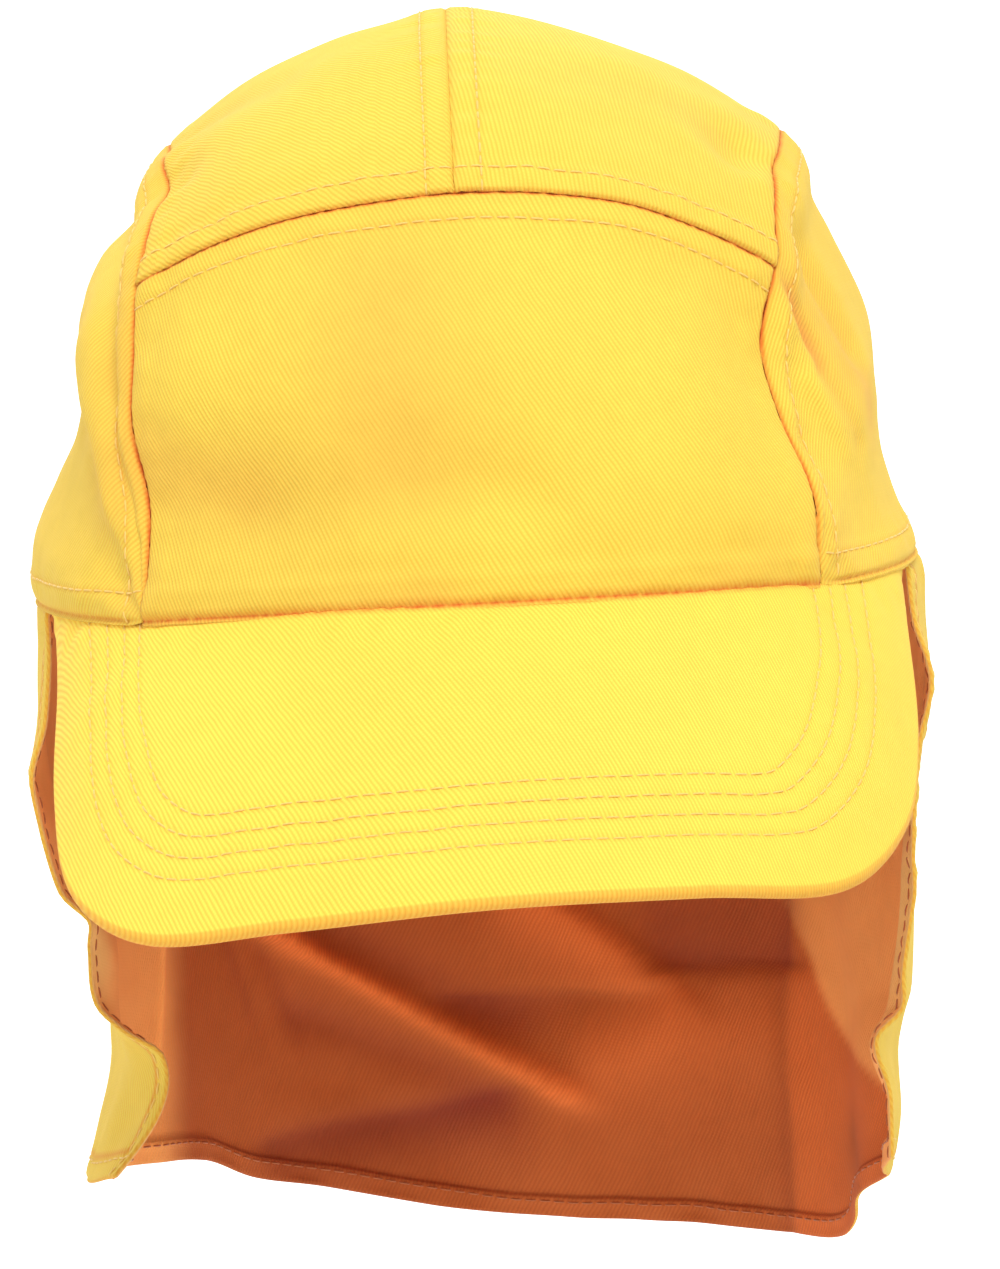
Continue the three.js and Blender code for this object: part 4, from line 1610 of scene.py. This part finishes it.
@dataclass(frozen=True)
class TwillFinish:
    """Cotton twill: ribs whose hollows take a deeper colour, partly the weave's own and partly painted
    shade, painted shade along the seams, and a soft nap.

    Seam is the colour of the painted shade along seams, rows of stitches and edges, and shade the
    colour of the painted shade where the painted mark is negative. Light_front and light_hem are the
    painted-light colours where daylight reaches an inner face and its hems.
    """

    name: str
    rib: Colour
    hollow: Colour
    seam: Colour
    shade: Colour
    light_front: Colour | None = None
    light_hem: Colour = (0.98, 0.62, 0.2)
    painted_light_strength: float = 0.6
    rib_spacing: float = 0.00082
    unevenness: float = 0.45
    mottle: float = 0.16
    seam_strength: float = 0.85
    bump: float = 0.6
    bump_height: float = 0.00022
    sheen: float = 0.03
    roughness: float = 0.82

    def build(self) -> Material:
        """Makes the material."""
        material, tree, shader = new_finish(self.name)
        cloth = node(tree, "UVMap", (-1200, 200), uv_map="cloth").outputs["UV"]
        place = node(tree, "TexCoord", (-1200, -200)).outputs["Object"]
        height = TwillWeave().place(
            tree, Cloth=cloth, Rib_spacing=self.rib_spacing, Unevenness=self.unevenness
        )
        mottle = ClothMottle().place(tree, Place=place, Amount=self.mottle)
        # The hollows of the ribs take a deeper colour, partly the weave's own and partly painted shade
        colour = colour_mix(tree, height, self.hollow, self.rib)
        # Painted light where daylight reaches the inner face and its hems
        if self.light_front is not None:
            colour = colour_mix(tree, read_mark(tree, "daylight"), colour, self.light_front)
            colour = colour_mix(tree, read_mark(tree, "hem_light"), colour, self.light_hem)
        # Painted shade where the mark is negative, painted light where it is positive
        tone = read_mark(tree, "tone")
        deeper = math_node(tree, "MULTIPLY", tone, -1.0)
        colour = colour_mix(tree, math_node(tree, "MAXIMUM", deeper, 0.0), colour, self.shade)
        lighter = math_node(tree, "MULTIPLY", math_node(tree, "MAXIMUM", tone, 0.0), self.painted_light_strength)
        bright = math_node(tree, "ADD", math_node(tree, "ADD", mottle, 1.0), lighter)
        painted_and_mottled = node(tree, "HueSaturation", (-300, 300), Value=bright, Color=colour)
        # Painted shade along seams, rows of stitches and edges, from the crease mark
        strength = math_node(tree, "MULTIPLY", read_mark(tree, "crease"), self.seam_strength)
        colour = colour_mix(tree, strength, painted_and_mottled.outputs["Color"], self.seam)
        bump = node(tree, "Bump", (-300, -300), Strength=self.bump, Height=height)
        bump.inputs["Distance"].default_value = self.bump_height
        feed(
            tree,
            shader,
            Base_Color=colour,
            Normal=bump.outputs["Normal"],
            Roughness=self.roughness,
            Sheen_Weight=self.sheen,
            Sheen_Roughness=0.5,
            Specular_IOR_Level=0.25,
        )
        return material


@dataclass(frozen=True)
class ThreadFinish:
    """Cotton sewing thread with a fine twist."""

    name: str = "sewing_thread"
    colour: Colour = (0.92, 0.66, 0.18)
    shadow: Colour = (0.8, 0.47, 0.09)
    twist_scale: float = 2600.0
    bump_height: float = 0.00008

    def build(self) -> Material:
        """Makes the material."""
        material, tree, shader = new_finish(self.name)
        place = node(tree, "TexCoord", (-900, 0)).outputs["Object"]
        twist = node(tree, "TexNoise", (-700, 0), Scale=self.twist_scale, Detail=2.0, Vector=place)
        twist = twist.outputs["Fac"]
        colour = colour_mix(tree, twist, self.shadow, self.colour)
        bump = node(tree, "Bump", (-300, -300), Strength=0.4, Distance=self.bump_height, Height=twist)
        normal = bump.outputs["Normal"]
        feed(tree, shader, Base_Color=colour, Normal=normal, Roughness=0.6, Sheen_Weight=0.15)
        return material


@dataclass(frozen=True)
class Lamp:
    """A square soft light that points at the cap. Its place and size are in metres."""

    name: str
    place: Place
    size: float
    power: float

    def build(self) -> None:
        """Adds the light."""
        data = bpy.data.lights.new(self.name, "AREA")
        data.size = self.size
        data.energy = self.power
        light = bpy.data.objects.new(self.name, data)
        light.location = self.place
        light.rotation_mode = "QUATERNION"
        light.rotation_quaternion = (-Vector(self.place)).to_track_quat("-Z", "Y")
        bpy.context.scene.collection.objects.link(light)


@dataclass(frozen=True)
class Studio:
    """A pale floor, soft light and the camera at the photograph's angle.

    The camera's target and distance are in millimetres, its angles in degrees. The floor's
    measures, and where behind the cap its glow starts and is full, are in metres.
    """

    target: Place = (3.8, 0.0, -13.3)
    distance: float = 1250.0
    elevation: float = 6.0
    roll: float = 3.16
    focal_pixels: float = 6500.0
    long_side_pixels: float = 1269.0
    sensor: float = 36.0
    floor_height: float = -0.62
    floor_size: float = 40.0
    sweep_from: float = 3.0
    sweep_radius: float = 2.0
    sweep_height: float = 8.0
    world_strength: float = 0.7
    floor_darker: Colour = (0.9, 0.9, 0.9)
    floor_lighter: Colour = (0.92, 0.92, 0.92)
    glow_from: float = 0.6
    glow_to: float = 2.2
    glow: float = 0.6
    lamps: tuple[Lamp, ...] = (
        Lamp("key_light", (0.35, -1.25, 1.95), 0.9, 37.5),
        Lamp("fill_light", (-0.9, -1.8, 0.7), 1.6, 4.4),
        Lamp("back_light", (-0.5, 1.6, 1.1), 1.5, 6.5),
    )

    def build(self) -> None:
        """Sets up the camera, the floor, the lights and the world."""
        self.add_camera()
        self.add_floor()
        for lamp in self.lamps:
            lamp.build()
        world = bpy.data.worlds.new("studio")
        bpy.context.scene.world = world
        world.use_nodes = True
        backdrop = world.node_tree.nodes["Background"]
        backdrop.inputs["Color"].default_value = (1.0, 1.0, 1.0, 1.0)
        backdrop.inputs["Strength"].default_value = self.world_strength
        bpy.context.scene.view_settings.view_transform = "Standard"

    def add_camera(self) -> None:
        """Places the camera with the photograph's tilt and roll."""
        data = bpy.data.cameras.new("camera")
        data.sensor_width = self.sensor
        data.lens = self.focal_pixels * self.sensor / self.long_side_pixels
        data.clip_start, data.clip_end = 0.05, 200.0
        camera = bpy.data.objects.new("camera", data)
        bpy.context.scene.collection.objects.link(camera)
        tilt = math.radians(self.elevation)
        away = Vector((0, -math.cos(tilt), math.sin(tilt)))
        spot = (Vector(self.target) + away * self.distance) * METRES
        facing = (-away).to_track_quat("-Z", "Y").to_matrix().to_4x4()
        roll = Matrix.Rotation(math.radians(-self.roll), 4, "Z")
        camera.matrix_world = Matrix.Translation(spot) @ facing @ roll
        bpy.context.scene.camera = camera

    def add_floor(self) -> None:
        """Adds the pale floor, well below the hanging flap, which sweeps up behind the cap."""
        turn = np.linspace(0, math.pi / 2, 16)
        bend, low = self.sweep_radius, self.floor_height
        back = [(self.sweep_from + bend * math.sin(t), low + bend * (1 - math.cos(t))) for t in turn]
        profile = [(-self.floor_size / 2, low), *back, (back[-1][0], self.sweep_height)]
        half = self.floor_size / 2
        points = [(x, y, z) for y, z in profile for x in (-half, half)]
        faces = [(2 * k, 2 * k + 1, 2 * k + 3, 2 * k + 2) for k in range(len(profile) - 1)]
        mesh = bpy.data.meshes.new("floor")
        mesh.from_pydata(points, [], faces)
        mesh.materials.append(self.floor_finish())
        floor = bpy.data.objects.new("floor", mesh)
        bpy.context.scene.collection.objects.link(floor)
        floor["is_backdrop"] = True

    def floor_finish(self) -> Material:
        """Makes the floor's pale finish, which glows softly where it rises behind the cap."""
        material, tree, shader = new_finish("pale_floor")
        speckle = node(tree, "TexNoise", (-500, 0), Scale=3.0).outputs["Fac"]
        place = node(tree, "TexCoord", (-900, -300)).outputs["Object"]
        split = node(tree, "SeparateXYZ", (-700, -300), Vector=place)
        glow = node(tree, "MapRange", (-500, -300), interpolation_type="SMOOTHSTEP", To_Max=self.glow)
        feed(tree, glow, Value=split.outputs["Y"], From_Min=self.glow_from, From_Max=self.glow_to)
        shine = glow.outputs["Result"]
        white = node(tree, "CombineColor", (-300, -300), Red=shine, Green=shine, Blue=shine)
        feed(
            tree,
            shader,
            Base_Color=colour_mix(tree, speckle, self.floor_darker, self.floor_lighter),
            Roughness=0.9,
            Emission_Color=white.outputs["Color"],
            Emission_Strength=1.0,
        )
        return material


def main() -> None:
    """Builds the cap round its frame."""
    logging.basicConfig(level=logging.INFO, format="%(name)s: %(message)s")
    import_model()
    framed = [list(corner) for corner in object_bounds()]
    # The outer cloth: seam and shade are the colours of its painted shade
    outer = TwillFinish(
        name="yellow_twill",
        rib=(0.85, 0.66, 0.088),
        hollow=(0.79, 0.45, 0.044),
        seam=(0.68, 0.06, 0.01),
        shade=(0.78, 0.36, 0.066),
        painted_light_strength=0.3,
    ).build()
    # The inner face: the cloth again with painted shade, and painted light where daylight reaches it
    inner = TwillFinish(
        name="shaded_twill",
        rib=(0.56, 0.13, 0.024),
        hollow=(0.45, 0.093, 0.018),
        seam=(0.24, 0.042, 0.01),
        shade=(0.27, 0.04, 0.018),
        painted_light_strength=0.75,
        light_front=(0.98, 0.38, 0.1),
    ).build()
    thread = ThreadFinish().build()
    # The stitches on the inner face: the thread again with painted shade
    shaded_thread = ThreadFinish("shaded_thread", (0.52, 0.14, 0.03), (0.38, 0.09, 0.02)).build()
    palette = Palette([outer, inner], thread, shaded_thread)
    Studio().build()
    pieces = [*Crown().build(palette), Peak().build(palette), NeckFlap().build(palette)]
    for piece in pieces:
        LOG.info("%s: %d faces", piece.name, len(piece.data.polygons))
    dressed = [list(corner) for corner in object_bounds()]
    for low, high in (framed, dressed):
        LOG.info("box %s to %s", [round(x, 4) for x in low], [round(x, 4) for x in high])


if __name__ == "__main__":
    main()
